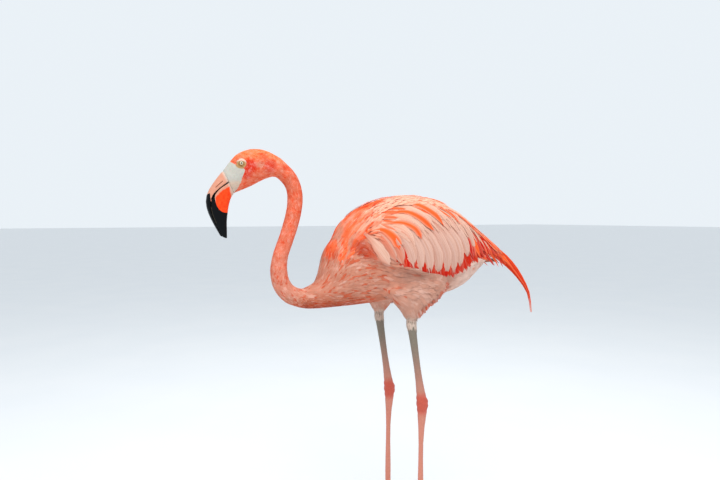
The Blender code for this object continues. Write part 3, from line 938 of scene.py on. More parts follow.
def long_feather_material():
    """Long feathers, whose streaks are painted along them."""
    finish, tree = material("long_feathers", Roughness=0.75, Specular_IOR_Level=0.10)
    tint, vane = tree.read("tint", "Color"), tree.read("vane", "Vector")
    barbs = tree.use(BARBS, Vane=vane, Barbs=260.0, Slant=0.9)
    parts = tree.split(vane)
    stretched = tree.joined(parts[0] * 7.0, parts[1] * 2.2, tree.read("tone") * 60.0)
    light = tree.ramp(tree.noise(stretched, 1.0, 4.0), 0.25, 0.75)
    darker = tree.blend(1.0, tint, (0.86, 0.72, 0.66), "MULTIPLY")
    colour = tree.blend(barbs["Shaft"] * 0.35, tree.blend(light, darker, tint), darker)
    tree.shade(Base_Color=colour)
    tree.bump(barbs["Height"], 0.00015, 0.45)
    return finish


def skin_material():
    """Bare face and legs, and the plumage's own colours under the coat."""
    finish, tree = material(
        "skin", Subsurface_Weight=0.08, Subsurface_Scale=0.002, Specular_IOR_Level=0.35
    )
    under = tree.blend(1.0, tree.read("tint", "Color"), (1.0, 0.90, 0.86), "MULTIPLY")
    patches = tree.use(MOTTLE, Scale=330.0, Contrast=0.22)[0]
    bare = tree.read("bare", "Color")
    bare = tree.blend(patches * 0.6, bare, tree.blend(1.0, bare, (0.80, 0.74, 0.72), "MULTIPLY"))
    colour = tree.blend(tree.ramp(tree.read("bareness"), 0.3, 0.7), under, bare)
    tree.shade(Base_Color=colour, Roughness=0.42 + patches * 0.2)
    grain, leg_grain = (tree.use(GRAIN, Scale=scale)[0] for scale in (2000.0, 520.0))
    mixed = tree.add("ShaderNodeMix", {0: tree.read("legness"), 2: grain * 0.3, 3: leg_grain})[0]
    tree.bump(mixed, 0.0002, 0.35)
    return finish


PLUMAGE = plumage_material()
LONG_FEATHERS = long_feather_material()
SKIN = skin_material()


# ---- single feathers, in units of their width and length ----------------------------------
def blade(line, widths, rise, offset=0.0):
    """A closed three-sided blade: its places along the feather, its half width at each, how
    its middle stands up, and how far it leans aside."""
    points, faces = [], []
    stations = list(zip(line, widths))
    for v, half in stations[1:-1]:
        aside = offset * v
        points += [(aside - half, v, 0.0), (aside, v, rise * half), (aside + half, v, 0.0)]
    root = len(points)
    points += [(offset * line[0], line[0], 0.0), (offset * line[-1], line[-1], 0.0)]
    for k in range(len(stations) - 3):
        a, b = 3 * k, 3 * k + 3
        faces += [(a, a + 1, b + 1, b), (a + 1, a + 2, b + 2, b + 1), (a + 2, a, b, b + 2)]
    last = 3 * (len(stations) - 3)
    for k in range(3):
        after = (k + 1) % 3
        faces.append((root, after, k))
        faces.append((root + 1, last + k, last + after))
    return points, faces


RIM_ANGLE = 1.1  # edges folded more than this stay sharp


def thin_mesh(name, points, faces):
    """A mesh of thin closed blades: faces outward, and rims sharp so that the vanes shade flat."""
    mesh = plain_mesh(name, points, faces)
    shape = bmesh.new()
    shape.from_mesh(mesh)
    bmesh.ops.recalc_face_normals(shape, faces=shape.faces)
    for edge in shape.edges:
        edge.smooth = edge.calc_face_angle(math.pi) < RIM_ANGLE
    shape.to_mesh(mesh)
    shape.free()
    return mesh


def feather_shape(name, blades):
    """One object of a few blades; the attribute vane keeps each point's place on it."""
    points, faces = [], []
    for own_points, own_faces in blades:
        faces += [tuple(len(points) + k for k in face) for face in own_faces]
        points += own_points
    mesh = thin_mesh(name, points, faces)
    give(mesh, vane=points)
    return bpy.data.objects.new(name, mesh)


def family(name, makers):
    """A collection of alike feathers, one of which is picked for each place."""
    group = bpy.data.collections.new(name)
    for k, blades in enumerate(makers):
        group.objects.link(feather_shape(f"{name}_{k}", blades))
    return group


def short_vane(lean=0.0):
    """A small rounded feather."""
    return [blade((0, 0.35, 0.78, 1.0), (0, 0.42, 0.42, 0), 0.3, lean)]


def soft_vane(lean=0.0):
    """A broad soft feather."""
    return [blade((0, 0.3, 0.62, 0.88, 1.0), (0, 0.34, 0.5, 0.30, 0), 0.06, lean)]


def tuft(count, spread, seed, slim, bends, rise=0.6):
    """A few loose barbs that part towards their tips; bends is the number of their bends."""
    chance = np.random.default_rng(seed)
    blades = []
    for k in range(count):
        aside = (k / (count - 1) - 0.5) * 2 + chance.uniform(-0.15, 0.15)
        reach = 1 - 0.22 * abs(aside) - 0.22 * chance.random()
        line = np.linspace(0.04, 1, bends + 2) * reach
        widths = slim * np.sin(np.linspace(0.35, math.pi, bends + 2)) ** 0.7
        blades.append(blade(line, widths, rise, spread * aside))
    return blades


DOWN_SHAPES = family("face_down", [short_vane(-0.2), short_vane(0.2)])
FACE_SHAPES = family("face_feather", [tuft(3, 0.34, seed, 0.19, 1, 0.25) for seed in (1, 2, 3, 4)])
NECK_SHAPES = family("neck_feather", [short_vane(-0.2), short_vane(0.0), short_vane(0.2)])
BARB_SHAPES = family("neck_barbs", [tuft(5, 0.50, seed, 0.13, 1, 0.3) for seed in (5, 6, 7, 8)])
BODY_SHAPES = family("body_feather", [soft_vane(lean) for lean in (-0.25, -0.05, 0.1, 0.25)])
SILK_SHAPES = family("silky_barbs", [tuft(4, 0.50, seed, 0.165, 3, 0.12) for seed in range(11, 16)])
TUFT_PATCH = 0.003  # each feather's patch on the unwrapped skin


# ---- plumage ------------------------------------------------------------------------------
PLUMAGE_INPUTS = {
    "Geometry": ("Geometry",), "Feathers": ("Collection",), "Region": ("String", "on_breast"),
    "Spacing": ("Float", 0.003), "Length": ("Float", 0.020), "Width": ("Float", 0.006),
    "Root Height": ("Float", 0.0003), "Lift": ("Float", 0.006), "Ruffle": ("Float", 0.25),
    "Cling": ("Float", 1.0), "Clumping": ("Float", 0.6), "Seed": ("Int", 1), "Finish": ("Material",),
}


def plumage_tree():
    """Feathers spread over a skin, each lying along the skin's stored lie and bent to it."""
    tree, given = new_group("plumage", "GeometryNodeTree", PLUMAGE_INPUTS, {"Geometry": ("Geometry",)})
    names = ("Geometry", "Length", "Width", "Lift", "Seed")
    skin, length, width, lift, seed = (given[name] for name in names)
    place = tree.add("GeometryNodeInputPosition")[0]

    def stored(name, kind="FLOAT"):
        return tree.add("GeometryNodeInputNamedAttribute", {"Name": name}, data_type=kind)[0]

    def way(name):
        return stored(name, "FLOAT_VECTOR")

    def store(geometry, name, value, kind="FLOAT_VECTOR", domain="POINT"):
        inputs = {"Geometry": geometry, "Name": name, "Value": value}
        return tree.add("GeometryNodeStoreNamedAttribute", inputs, data_type=kind, domain=domain)[0]

    def chance(low, high, salt):
        inputs = {"Seed": seed + salt, 2: low, 3: high}
        return tree.add("FunctionNodeRandomValue", inputs, data_type="FLOAT")[1]

    def nearest(value):
        inputs = {"Mesh": skin, "Value": value}
        return tree.add("GeometryNodeSampleNearestSurface", inputs, data_type="FLOAT_VECTOR")[0]

    def raised(start, direction, height):
        offset = tree.add("ShaderNodeVectorMath", {0: direction, "Scale": height}, operation="SCALE")[0]
        return tree.vector("ADD", start, offset)[0]

    # Roots spread over the region, with each feather's tone and size.
    spread = tree.add("GeometryNodeDistributePointsOnFaces", {
        "Mesh": skin, "Distance Min": given["Spacing"],
        "Density Max": tree.maths("DIVIDE", 2.2, given["Spacing"] * given["Spacing"]),
        "Density Factor": stored(given["Region"]), "Seed": seed,
    }, distribute_method="POISSON")
    points = store(spread["Points"], "root", place)
    points = store(points, "up", spread["Normal"])
    patches = tree.noise(way("stripe"), 1.0, 1.0)
    patches = tree.add("ShaderNodeMapRange", {"Value": patches, 1: 0.25, 2: 0.75})[0]
    tone = tree.add("ShaderNodeMix", {0: given["Clumping"], 2: chance(0.0, 1.0, 11.0), 3: patches})[0]
    points = store(points, "tone", tone, "FLOAT")
    points = store(points, "girth", stored("size") * chance(0.82, 1.18, 12.0), "FLOAT")
    girth = stored("girth")
    # Feathers laid along the lie, each turned a little aside, whole locks of them together.
    facing = tree.add("FunctionNodeAxesToRotation", {0: way("up"), 1: way("lie")},
                      primary_axis="Z", secondary_axis="Y")[0]
    locks = tree.add("ShaderNodeTexNoise", {"Vector": way("root"), "Scale": 34.0})[0]
    ruffle = given["Ruffle"] * (chance(-1.0, 1.0, 13.0) * 0.5 + (locks - 0.5) * 4.5)
    turn = tree.add("FunctionNodeAxisAngleToRotation", {0: (0.0, 0.0, 1.0), 1: ruffle})[0]
    turned = tree.add("FunctionNodeRotateRotation", {0: facing, 1: turn}, rotation_space="LOCAL")[0]
    kinds = tree.add("GeometryNodeCollectionInfo", {
        "Collection": given["Feathers"], "Separate Children": True, "Reset Children": True,
    })[0]
    pick = tree.add("FunctionNodeRandomValue", {"Seed": seed, 4: 0, 5: 11}, data_type="INT")[2]
    placed = tree.add("GeometryNodeInstanceOnPoints", {
        "Points": points, "Instance": kinds, "Pick Instance": True, "Instance Index": pick,
        "Rotation": turned, "Scale": tree.joined(width * girth, length * girth, width * girth),
    })[0]
    real = tree.add("GeometryNodeRealizeInstances", {0: placed})[0]
    # Every point set at its height over the skin beneath it.
    vane = tree.split(way("vane"))
    skin_up = nearest(tree.add("GeometryNodeInputNormal")[0])
    rise = tree.maths("POWER", vane[1], 1.4) * lift * girth
    height = rise + vane[2] * width * girth + (stored("tone") * 0.12 * lift + given["Root Height"])
    lying = raised(nearest(place), tree.vector("NORMALIZE", skin_up)[0], height)
    inputs = {0: given["Cling"], 4: raised(place, way("up"), height), 5: lying}
    bent = tree.add("ShaderNodeMix", inputs, data_type="VECTOR")[1]
    coat = tree.add("GeometryNodeSetPosition", {"Geometry": real, "Position": bent})[0]
    patch = tree.joined(vane[0] * TUFT_PATCH, (vane[1] - 0.5) * TUFT_PATCH)
    mapped = tree.vector("ADD", way("skin_unwrap"), patch)[0]
    coat = store(coat, "OFBake", mapped, "FLOAT2", "CORNER")
    coat = tree.add("GeometryNodeSetShadeSmooth", {0: store(coat, "skin_up", skin_up)})[0]
    coat = tree.add("GeometryNodeSetMaterial", {"Geometry": coat, "Material": given["Finish"]})[0]
    tree.out(Geometry=coat)
    return tree.tree


KEPT = "skin_up tint tone fleck vane OFBake position sharp_face sharp_edge material_index".split()


def plumage(name, slot, inputs):
    """One piece of coat, grown on the skin by the plumage tree."""
    thing = link(bpy.data.objects.new(name, SKIN_OBJECT.data))
    step = thing.modifiers.new("plumage", "NODES")
    step.node_group = PLUMAGE_TREE
    for item in PLUMAGE_TREE.interface.items_tree:
        if item.in_out == "INPUT" and item.name in inputs:
            step[item.identifier] = inputs[item.name]
    settle(thing)
    layers = thing.data.attributes
    for layer in [layer.name for layer in layers]:
        if layer not in KEPT and not layer.startswith("."):
            layers.remove(layers[layer])
    return piece(thing, slot)


# The coats: piece, feathers, region; spacing, length, width, lift and root height in
# millimetres; ruffle, seed and, where they differ from the rest, clumping and cling.
COATS = (
    ("face_down", DOWN_SHAPES, "on_face", 1.05, 4.4, 2.5, 0.3, 0.0, 0.16, 31),
    ("face_feathers", FACE_SHAPES, "on_face", 1.05, 4.8, 2.1, 0.4, 0.1, 0.16, 1),
    ("neck_feathers", NECK_SHAPES, "on_neck", 2.2, 9, 3.6, 0.5, 0.1, 0.18, 2),
    ("neck_barbs", BARB_SHAPES, "on_neck", 1.6, 8.8, 3.6, 0.7, 0.3, 0.22, 3),
    ("breast_feathers", BODY_SHAPES, "on_breast", 5.5, 22, 12, 0.6, -0.2, 0.18, 4),
    ("breast_barbs", SILK_SHAPES, "on_breast", 4.4, 24, 8.8, 0.5, 0.3, 0.22, 5),
    ("breast_fringe", SILK_SHAPES, "on_breast", 4.6, 28, 8.6, 0.7, 0.5, 0.24, 15),
    ("wing_down", BODY_SHAPES, "on_wing", 7, 26, 14, 1, 0.3, 0.15, 6),
    ("flank_plumes", SILK_SHAPES, "on_flank", 5.5, 36, 10.5, 2.8, 0.7, 0.26, 17, 0.6, 0.95),
    ("flank_fringe", SILK_SHAPES, "on_fringe", 3, 17, 7, 3, 1, 0.40, 21, 0.0, 0.15),
    ("back_feathers", BODY_SHAPES, "on_back", 6, 36, 13, 0.6, -0.2, 0.10, 7, 0.8),
    ("back_barbs", SILK_SHAPES, "on_back", 3.4, 38, 6.6, 0.6, 0.4, 0.14, 8, 0.9),
    ("back_streaks", SILK_SHAPES, "on_back", 5.2, 52, 7, 0.9, 0.7, 0.12, 19, 0.9),
    ("wing_seam", SILK_SHAPES, "on_seam", 3.6, 36, 7, 3.6, 2.4, 0.16, 23, 0.8),
    ("thigh_feathers", BARB_SHAPES, "on_thigh", 2, 15, 5, 1.4, 0.3, 0.20, 9),
    ("vent_feathers", BODY_SHAPES, "on_vent", 6, 26, 12, 0.6, -0.2, 0.15, 10),
    ("vent_barbs", SILK_SHAPES, "on_vent", 4, 32, 9.5, 2, 1, 0.16, 16),
)


def make_coats():
    """All coats, grown one after another."""
    for name, feathers, region, *measures in COATS:
        inputs = {"Feathers": feathers, "Region": region, "Finish": PLUMAGE}
        inputs |= zip(("Spacing", "Length", "Width", "Lift", "Root Height"), metres(*measures[:5]))
        inputs |= zip(("Ruffle", "Seed", "Clumping", "Cling"), measures[5:])
        slot = "plumage_coral" if region in ("on_face", "on_neck") else "plumage_shell_pink"
        plumage(name, slot, inputs)


# ---- long feathers of wings, plumes and tail ----------------------------------------------
LONG_ROWS = 15  # points along one long feather
LONG_COLUMNS = 11  # points across it
WING_ROUND = 0.090  # how the wing curves across a feather
SIDE_TREE = tree_of("trunk", "wing_left")


def side_place(x, z):
    """The wing's outside at a place in side view, and the way out of it."""
    hit, way, _, _ = SIDE_TREE.ray_cast(Vector((x, 0.3, z)), Vector((0, -1, 0)))
    if hit is None or hit.y < 0.002:
        hit, way, _, _ = SIDE_TREE.find_nearest(Vector((x, 0.004, z)))
    return np.array(hit), np.array(way)


def way_out(x, z):
    """The wing's smoothed outward direction at a place in side view."""
    near = ((0, 0), (0.008, 0), (-0.008, 0), (0, 0.008), (0, -0.008))
    return unit(sum(side_place(x + dx, z + dz)[1] for dx, dz in near))


def on_wing(flat):
    """Side-view places on the wing's outside, with the ways out of it."""
    return np.array([side_place(x, z)[0] for x, z in flat]), np.array([way_out(x, z) for x, z in flat])


def smooth_across(path, rounds):
    """Evens out how a path goes in and out, rounds times."""
    for _ in range(rounds):
        path[1:-1, 1] = (path[:-2, 1] + path[1:-1, 1] * 2 + path[2:, 1]) / 4


def arc_on_side(root, tip, root_angle, tip_angle, bend=0.36):
    """A path over the wing from root to tip with its direction at both ends, in degrees."""
    root, tip = np.array(root, float), np.array(tip, float)
    length = np.linalg.norm(tip - root)
    angles = np.radians((root_angle, tip_angle))
    ways = np.stack((np.cos(angles), np.sin(angles)), 1) * length * bend
    first, last = root + ways[0], tip - ways[1]
    t = np.linspace(0, 1, LONG_ROWS)[:, None]
    flat = (1 - t) ** 3 * root + 3 * t * (1 - t) ** 2 * first + 3 * t**2 * (1 - t) * last + t**3 * tip
    path, ups = on_wing(flat)
    for k in range(1, LONG_ROWS):
        path[k, 1] = max(path[k, 1], path[k - 1, 1] - 0.8 * length / LONG_ROWS)
    smooth_across(path, 2)
    return path, ups


def broad(v):
    """The half width of a broad feather along it, as a share."""
    return (0.30 + 0.70 * ease(0, 0.5, v)) * (1 - 0.74 * ease(0.66, 1.0, v) ** 1.4)


def slender(v):
    """The half width of a long pointed feather along it, as a share."""
    return (0.25 + 0.75 * ease(0, 0.35, v)) * (1 - 0.90 * ease(0.45, 1.0, v))


def long_feather(path, ups, half_width, make, side, chance):
    """One long feather as a thin closed shell: points, faces, colours and places on it.

    The path is for the left side. Make is the outline, the colours, the heights over the path
    at root, middle and tip in millimetres, the roll over the next feather and the tip's rag.
    """
    outline, colours, layer, roll, rag = make
    path, ups, half_width = path * (1, side, 1), ups * (1, side, 1), half_width * MM
    u = np.linspace(-1, 1, LONG_COLUMNS)
    # Long plumes end in a smooth point, so the rag of their tips is less.
    stout = min(1.0, 10 * half_width / np.linalg.norm(path[-1] - path[0])) ** 2
    reach = 1 - stout * (0.10 * abs(u) ** 2.5 + rag * chance.random(LONG_COLUMNS) * (1 - 0.5 * abs(u)))
    v = np.linspace(0, 1, LONG_ROWS)[:, None] * reach
    u = np.broadcast_to(u, v.shape)
    rows = np.linspace(0, 1, len(path))

    def along(values):
        return np.stack([np.interp(v, rows, column) for column in values.T], -1)

    up = unit(along(ups))
    way = unit(along(np.gradient(path, axis=0)))
    aside = unit(np.cross(up, way))
    wave = 1 + 0.05 * np.sin(v * 23 + chance.random() * 6) * abs(u)
    offset = u * half_width * outline(v) * wave
    height = np.interp(v, (0, 0.5, 1), np.array(layer) * MM) + roll * side * offset
    height -= offset**2 / (2 * WING_ROUND)
    height += 0.0003 * (1 - abs(u)) ** 6 * (1 - v)
    top = along(path) + aside * offset[..., None] + up * height[..., None]
    thickness = 0.00018 + 0.00030 * (1 - u**2) * (1 - 0.6 * v)
    bottom = top - up * thickness[..., None]
    count = u.size
    at = np.arange(count).reshape(u.shape)
    quads = np.stack((at[:-1, :-1], at[:-1, 1:], at[1:, 1:], at[1:, :-1]), -1).reshape(-1, 4)
    border = np.concatenate((at[0, :-1], at[:-1, -1], at[-1, :0:-1], at[:0:-1, 0]))
    after = np.roll(border, -1)
    walls = np.stack((after, border, border + count, after + count), -1)
    faces = np.concatenate((quads, quads[:, ::-1] + count, walls))
    tint = colours(u.ravel(), v.ravel(), chance)
    strands = np.interp(u.ravel(), np.linspace(-1, 1, LONG_COLUMNS), chance.random(LONG_COLUMNS))
    tint = mix(tint, BLUSH, 0.30 * ease(0.55, 1.0, strands) * ease(0.1, 0.4, v.ravel()))
    return {
        "points": np.concatenate((top.reshape(-1, 3), bottom.reshape(-1, 3))),
        "faces": faces,
        "tint": np.concatenate((tint, tint)),
        "vane": np.tile(np.stack((u.ravel(), v.ravel(), np.zeros(count)), 1), (2, 1)),
        "tone": np.full(2 * count, chance.random()),
    }


def feather_piece(name, feathers, slot, *nodes):
    """Long feathers as one piece; each has a field of its own on the map OFBake."""
    first, points, faces, uv = 0, [], [], []
    columns = math.ceil(math.sqrt(len(feathers) * 3))
    lines = math.ceil(len(feathers) / columns)
    for k, feather in enumerate(feathers):
        points.append(feather["points"])
        faces.append(feather["faces"] + first)
        first += len(feather["points"])
        across = (k % columns + 0.06 + 0.44 * (feather["vane"][:, 0] + 1)) / columns
        upward = (k // columns + 0.04 + 0.92 * feather["vane"][:, 1]) / lines
        uv.append(np.stack((across, upward), 1))
    mesh = thin_mesh(name, np.concatenate(points), np.concatenate(faces).tolist())
    give(mesh, **{key: np.concatenate([feather[key] for feather in feathers])
                  for key in ("tint", "vane", "tone")})
    corners = np.empty(len(mesh.loops), np.int32)
    mesh.loops.foreach_get("vertex_index", corners)
    layer = mesh.uv_layers.new(name="OFBake")
    layer.uv.foreach_set("vector", np.concatenate(uv)[corners].astype(np.float32).ravel())
    mesh.materials.append(LONG_FEATHERS)
    return piece(link(bpy.data.objects.new(name, mesh)), slot, *nodes)


def pale_flush_and_shadow(u, v, chance):
    """Pale blush vanes, flushed with salmon at the root and along the covered side; that salmon
    and the orange at the covered edge are partly painted shadow of the feather over them.
    """
    strength = chance.uniform(0.55, 0.95)
    # Salmon at the root and on the covered side: partly the vane's own flush, partly painted shadow of the
    # feather over it.
    flush_and_shadow = strength * ease(0.55, 0.10, v) + strength * ease(0.05, -0.75, u) * ease(1.0, 0.55, v)
    return layered(
        PALE, (SALMON, np.clip(flush_and_shadow, 0, 1) * 0.8), (ORANGE, 0.30 * strength * ease(-0.45, -0.95, u)),
        (BLUSH, 0.5 * ease(0.35, 0.9, u) * ease(0.2, 0.6, v)),
    )


def streaked(u, v, chance):
    """A vivid orange streak along one side of a pale feather."""
    strength = chance.choice((0.25, 0.75, 0.95, 1.0))
    middle = chance.uniform(-0.45, -0.05)
    streak = ease(0.62, 0.18, abs(u - middle)) * ease(1.02, 0.72, v) * ease(-0.05, 0.15, v)
    return layered(BACK, (BLUSH, ease(0.2, 0.9, v)), (ORANGE, streak * strength))


def drop(v):
    """The half width of a feather that is broadest near its tip, as a share."""
    return (0.25 + 0.75 * ease(0, 0.75, v)) * (1 - 0.92 * ease(0.82, 1.0, v))


def vivid(u, v, chance):
    """Deep orange with pale edges and root."""
    edge = ease(0.35, 1.0, abs(u)) * chance.uniform(0.35, 0.7)
    pale = np.maximum(edge, 0.8 * ease(0.30, 0.0, v))
    return layered(ORANGE, (SCARLET, 0.15 * ease(0.4, 0.9, v)), (BACK, pale))


def lance_colours(u, v, chance):
    """Pale blush, flushed with salmon along the covered side, partly painted shadow of the feather over it.
    """
    # Salmon on the covered side: partly its own flush, partly painted shadow of the feather over it.
    flush_and_shadow = 0.75 * ease(0.2, -0.9, u) * ease(1.0, 0.5, v)
    return layered(BACK, (BLUSH, ease(0.1, 0.7, v)), (SALMON, flush_and_shadow))


def scarlet(u, v, chance):
    """Deep scarlet, a little orange at the edges."""
    glow = chance.uniform(0.0, 0.22) * ease(0, 1, v)
    return layered(SCARLET, (ORANGE, glow), (ORANGE, 0.25 * ease(0.6, 1.0, abs(u))))


def flame(u, v, chance):
    """Orange-red with paler edges, as the rearmost feathers of the wing."""
    tint = mix(ORANGE, SCARLET, chance.choice((0.0, 0.3, 0.9, 1.0)))
    return mix(tint, BACK, 0.6 * ease(0.6, 1.0, abs(u)) * chance.random())


def wrist_pink(u, v, chance):
    """Salmon with an orange root and pale edges."""
    root = chance.uniform(0.1, 0.6) * ease(0.6, 0.1, v)
    edge = 0.65 * ease(0.35, 0.95, abs(u)) + 0.2 * ease(0.6, 1.0, v)
    return layered(SALMON, (ORANGE, root), (PALE, edge))


def blush(u, v, chance):
    """The tail's pale blush with an orange root."""
    return layered(VENT, (BACK, chance.uniform(0.1, 0.6)), (ORANGE, 0.5 * ease(0.5, 0.0, v)))


# Groups of feathers on one wing, from the deepest to the uppermost: name, slot, count, half
# width in millimetres, make; the curve in side view on which the roots lie and the feathers'
# direction there in degrees, from its first to its last; then the same of the tips.
WING_GROUPS = (
    (
        "red_coverts", "plumage_scarlet", 30, 8.5,
        (broad, scarlet, (-6.5, -5.6, -4.6), 0.1, 0.18),
        places(90, 640, 50, 645, 10, 640, -60, 640, -120, 650), (235, 225),
        places(62, 598, 12, 572, -50, 556, -112, 562, -190, 596), (236, 226),
    ),
    (
        "rear", "plumage_scarlet", 20, 8,
        (slender, flame, (-5.0, -4.0, -2.4), 0.16, 0.2),
        places(-110, 655, -140, 655, -160, 650, -185, 642), (222, 208),
        places(-148, 594, -190, 594, -222, 596, -266, 583), (236, 228),
    ),
    (
        "scapulars", "plumage_shell_pink", 18, 10,
        (slender, lance_colours, (-4.4, -3.0, -2.2), 0.12, 0.1),
        places(96, 657, 84, 676, 70, 692, 40, 707, -10, 712, -80, 704), (195, 178, 176, 190),
        places(50, 622, 12, 640, -30, 648, -75, 650, -120, 640, -215, 612), (240, 238, 242, 232),
    ),
    (
        "upper_scapulars", "plumage_shell_pink", 14, 7.5,
        (slender, streaked, (-3.2, -2.2, -1.6), 0.1, 0.08),
        places(100, 664, 88, 682, 60, 700, 20, 712, -50, 712), (188, 172, 182),
        places(58, 642, 14, 660, -30, 672, -80, 674, -150, 650), (232, 222, 218),
    ),
)


def pale_covert(u, v, chance):
    """The pale feather at the wing's bend, with a salmon root and edge."""
    return layered(BLUSH, (SALMON, 0.7 * ease(0.4, 0.0, v)), (SALMON, 0.6 * ease(0.0, -0.9, u)))


# How each kind of single feather is made, as long_feather has it.
KINDS = {
    "tertial": (broad, pale_flush_and_shadow, (-5.2, -3.8, -3.0), 0.18, 0.16),
    "lance": (slender, lance_colours, (-2.8, -1.6, -1.2), 0.12, 0.08),
    "streak": (drop, vivid, (-1.6, -0.6, -0.2), 0.06, 0.28),
    "covert": (broad, wrist_pink, (-3.0, -1.4, -1.0), 0.15, 0.12),
    "pale_covert": (broad, pale_covert, (-2.2, -0.4, 0.0), 0.15, 0.12),
}
# Single feathers drawn one by one on the wing: kind, half width and places in side view, in
# millimetres. The first lie deepest.
DRAWN = (
    ("tertial", 12, -80, 690, -108, 662, -136, 634, -148, 606),
    ("tertial", 13, -54, 696, -86, 662, -116, 626, -126, 597),
    ("tertial", 13.5, -30, 698, -64, 662, -95, 618, -106, 576),
    ("tertial", 13.5, -6, 698, -40, 668, -75, 622, -92, 568),
    ("tertial", 13.5, 16, 694, -18, 668, -55, 622, -74, 561),
    ("tertial", 13.5, 34, 690, 4, 668, -33, 620, -53, 563),
    ("tertial", 13.5, 52, 684, 24, 666, -8, 626, -30, 567),
    ("tertial", 13, 70, 680, 46, 665, 15, 632, -6, 573),
    ("tertial", 12.5, 86, 672, 64, 660, 34, 632, 13, 582),
    ("covert", 11, 94, 664, 76, 650, 54, 624, 38, 590),
    ("lance", 8, -110, 696, -160, 668, -200, 638, -216, 618),
    ("lance", 9, -70, 710, -120, 688, -154, 658, -170, 628),
    ("lance", 9, -20, 716.5, -75, 706, -112, 678, -130, 642),
    ("lance", 9, 20, 715.5, -40, 713, -84, 690, -104, 652),
    ("lance", 9, 60, 708.5, 0, 714.5, -44, 704, -78, 660),
    ("lance", 8.5, 71, 691, 20, 699, -15, 688, -46, 650),
    ("lance", 8.5, 72, 676, 30, 680, 0, 666, -18, 636),
    ("lance", 8.5, 78, 664, 46, 664, 24, 648, 13, 618),
    ("streak", 7.4, 71, 700, 9, 708, -15, 705, -37, 692, -50, 680, -59, 661),
    ("streak", 3.4, 80, 684, 50, 695, 14, 695),
    ("streak", 7, 71, 683, 10, 688, -10, 676, -33, 652),
    ("streak", 6.6, 72, 669, 28, 669, 9, 658, -2, 637),
    ("streak", 9, 98, 657, 72, 656, 58, 644, 46, 618),
    ("streak", 4.2, 96, 668, 70, 679, 36, 680),
    ("streak", 4.2, 86, 692, 58, 704, 16, 709),
    ("streak", 3.8, 92, 680, 64, 689, 30, 690),
    ("streak", 4, 40, 713, -6, 715, -44, 707),
    ("streak", 4.4, 0, 715, -50, 709, -90, 690, -108, 668),
    ("streak", 3.4, -60, 708, -105, 692, -150, 664, -170, 645),
    ("streak", 4.2, -130, 679, -190, 648, -240, 618, -274, 594),
    ("streak", 6, -150, 662, -200, 634, -250, 604),
    ("covert", 8.5, 96, 660, 80, 645, 66, 622, 53, 598),
    ("pale_covert", 9.5, 104, 652, 93, 636, 80, 614, 64, 591),
)


def drawn_feathers(name, side, seed):
    """The long feathers that show one by one on the wing."""
    chance = np.random.default_rng(seed)
    tertials, uppers = [], []
    for kind, half_width, *numbers in DRAWN:
        flat = curve(places(*numbers), 2 * LONG_ROWS) + chance.normal(0, 0.0006, 2)
        path, ups = on_wing(flat)
        smooth_across(path, 3)
        group = tertials if kind == "tertial" else uppers
        group.append(long_feather(path, ups, half_width, KINDS[kind], side, chance))
    feather_piece(f"tertials_{name}", tertials, "plumage_shell_pink")
    feather_piece(f"streaked_scapulars_{name}", uppers, "plumage_coral")


def spread_over(given, count):
    """Count rows at even steps through the given ones."""
    columns = np.reshape(given, (len(given), -1)).T
    share, known = np.linspace(0, 1, count), np.linspace(0, 1, len(given))
    return np.stack([np.interp(share, known, column) for column in columns], 1)


def wing_feathers(name, side, seed):
    """The groups of long feathers of one wing."""
    for number, (group, slot, count, half_width, make, *ends) in enumerate(WING_GROUPS):
        chance = np.random.default_rng(seed + number)
        roots, root_angles, tips, tip_angles = (spread_over(given, count) for given in ends)
        feathers = []
        for k in range(count):
            shift = chance.normal(0, 0.0022, 4)
            path, ups = arc_on_side(
                roots[k] + shift[:2], tips[k] + shift[2:],
                root_angles[k, 0] + chance.normal(0, 3), tip_angles[k, 0] + chance.normal(0, 3),
            )
            width = half_width * chance.uniform(0.88, 1.12)
            feathers.append(long_feather(path, ups, width, make, side, chance))
        feather_piece(f"{group}_{name}", feathers, slot)


# The long drooping plumes of each wing: half width and places, in millimetres.
PLUMES = (
    (
        8.5, -150, 52, 650, -190, 32, 637, -224, 13, 621, -262, 8, 601, -298.5, 5.8, 576.5, -333.5, 3.6,
        541, -356, 2.4, 510, -366, 1.5, 462,
    ),
    (7.5, -160, 50, 640, -200, 30, 626, -235, 15, 612, -275, 10, 590, -308, 7, 562),
    (6.5, -175, 50, 640, -220, 32, 614, -250, 19, 592, -268, 14, 570),
    (6, -165, 52, 634, -208, 38, 608, -235, 24, 590, -253, 17, 571),
    (6, -155, 56, 628, -192, 45, 602, -217, 33, 588, -236, 23, 576),
    (6, -150, 58, 620, -180, 50, 600, -204, 40, 587),
    (5.5, -185, 44, 642, -228, 26, 616, -262, 15, 594, -280, 10, 575),
)


def plume_red(u, v, chance):
    """Red-orange, brighter at the edges, with a pale tip."""
    edge = 0.25 + 0.4 * ease(0.2, 0.9, abs(u))
    return layered(SCARLET, (ORANGE, edge), (BACK, 0.5 * ease(0.90, 1.0, v)))


def plume_feathers(name, side, seed):
    chance = np.random.default_rng(seed)
    feathers = []
    for k, (half_width, *numbers) in enumerate(PLUMES):
        path = curve(places(*numbers, size=3), 2 * LONG_ROWS)
        ups = np.tile((0.05, 1.0, 0.25), (len(path), 1))
        colours, rag = (flame, 0.30) if k else (plume_red, 0.05)
        make = (slender, colours, (-1.2 - 0.7 * k, 0, 0), 0.1, rag)
        feathers.append(long_feather(path, ups, half_width, make, side, chance))
    feather_piece(f"long_plumes_{name}", feathers, "plumage_scarlet", f"plume_{name}")


TAIL_COUNT = 12
TAIL_RAISED = 0.011  # so far the feathers lie over the middle of the tail's solid


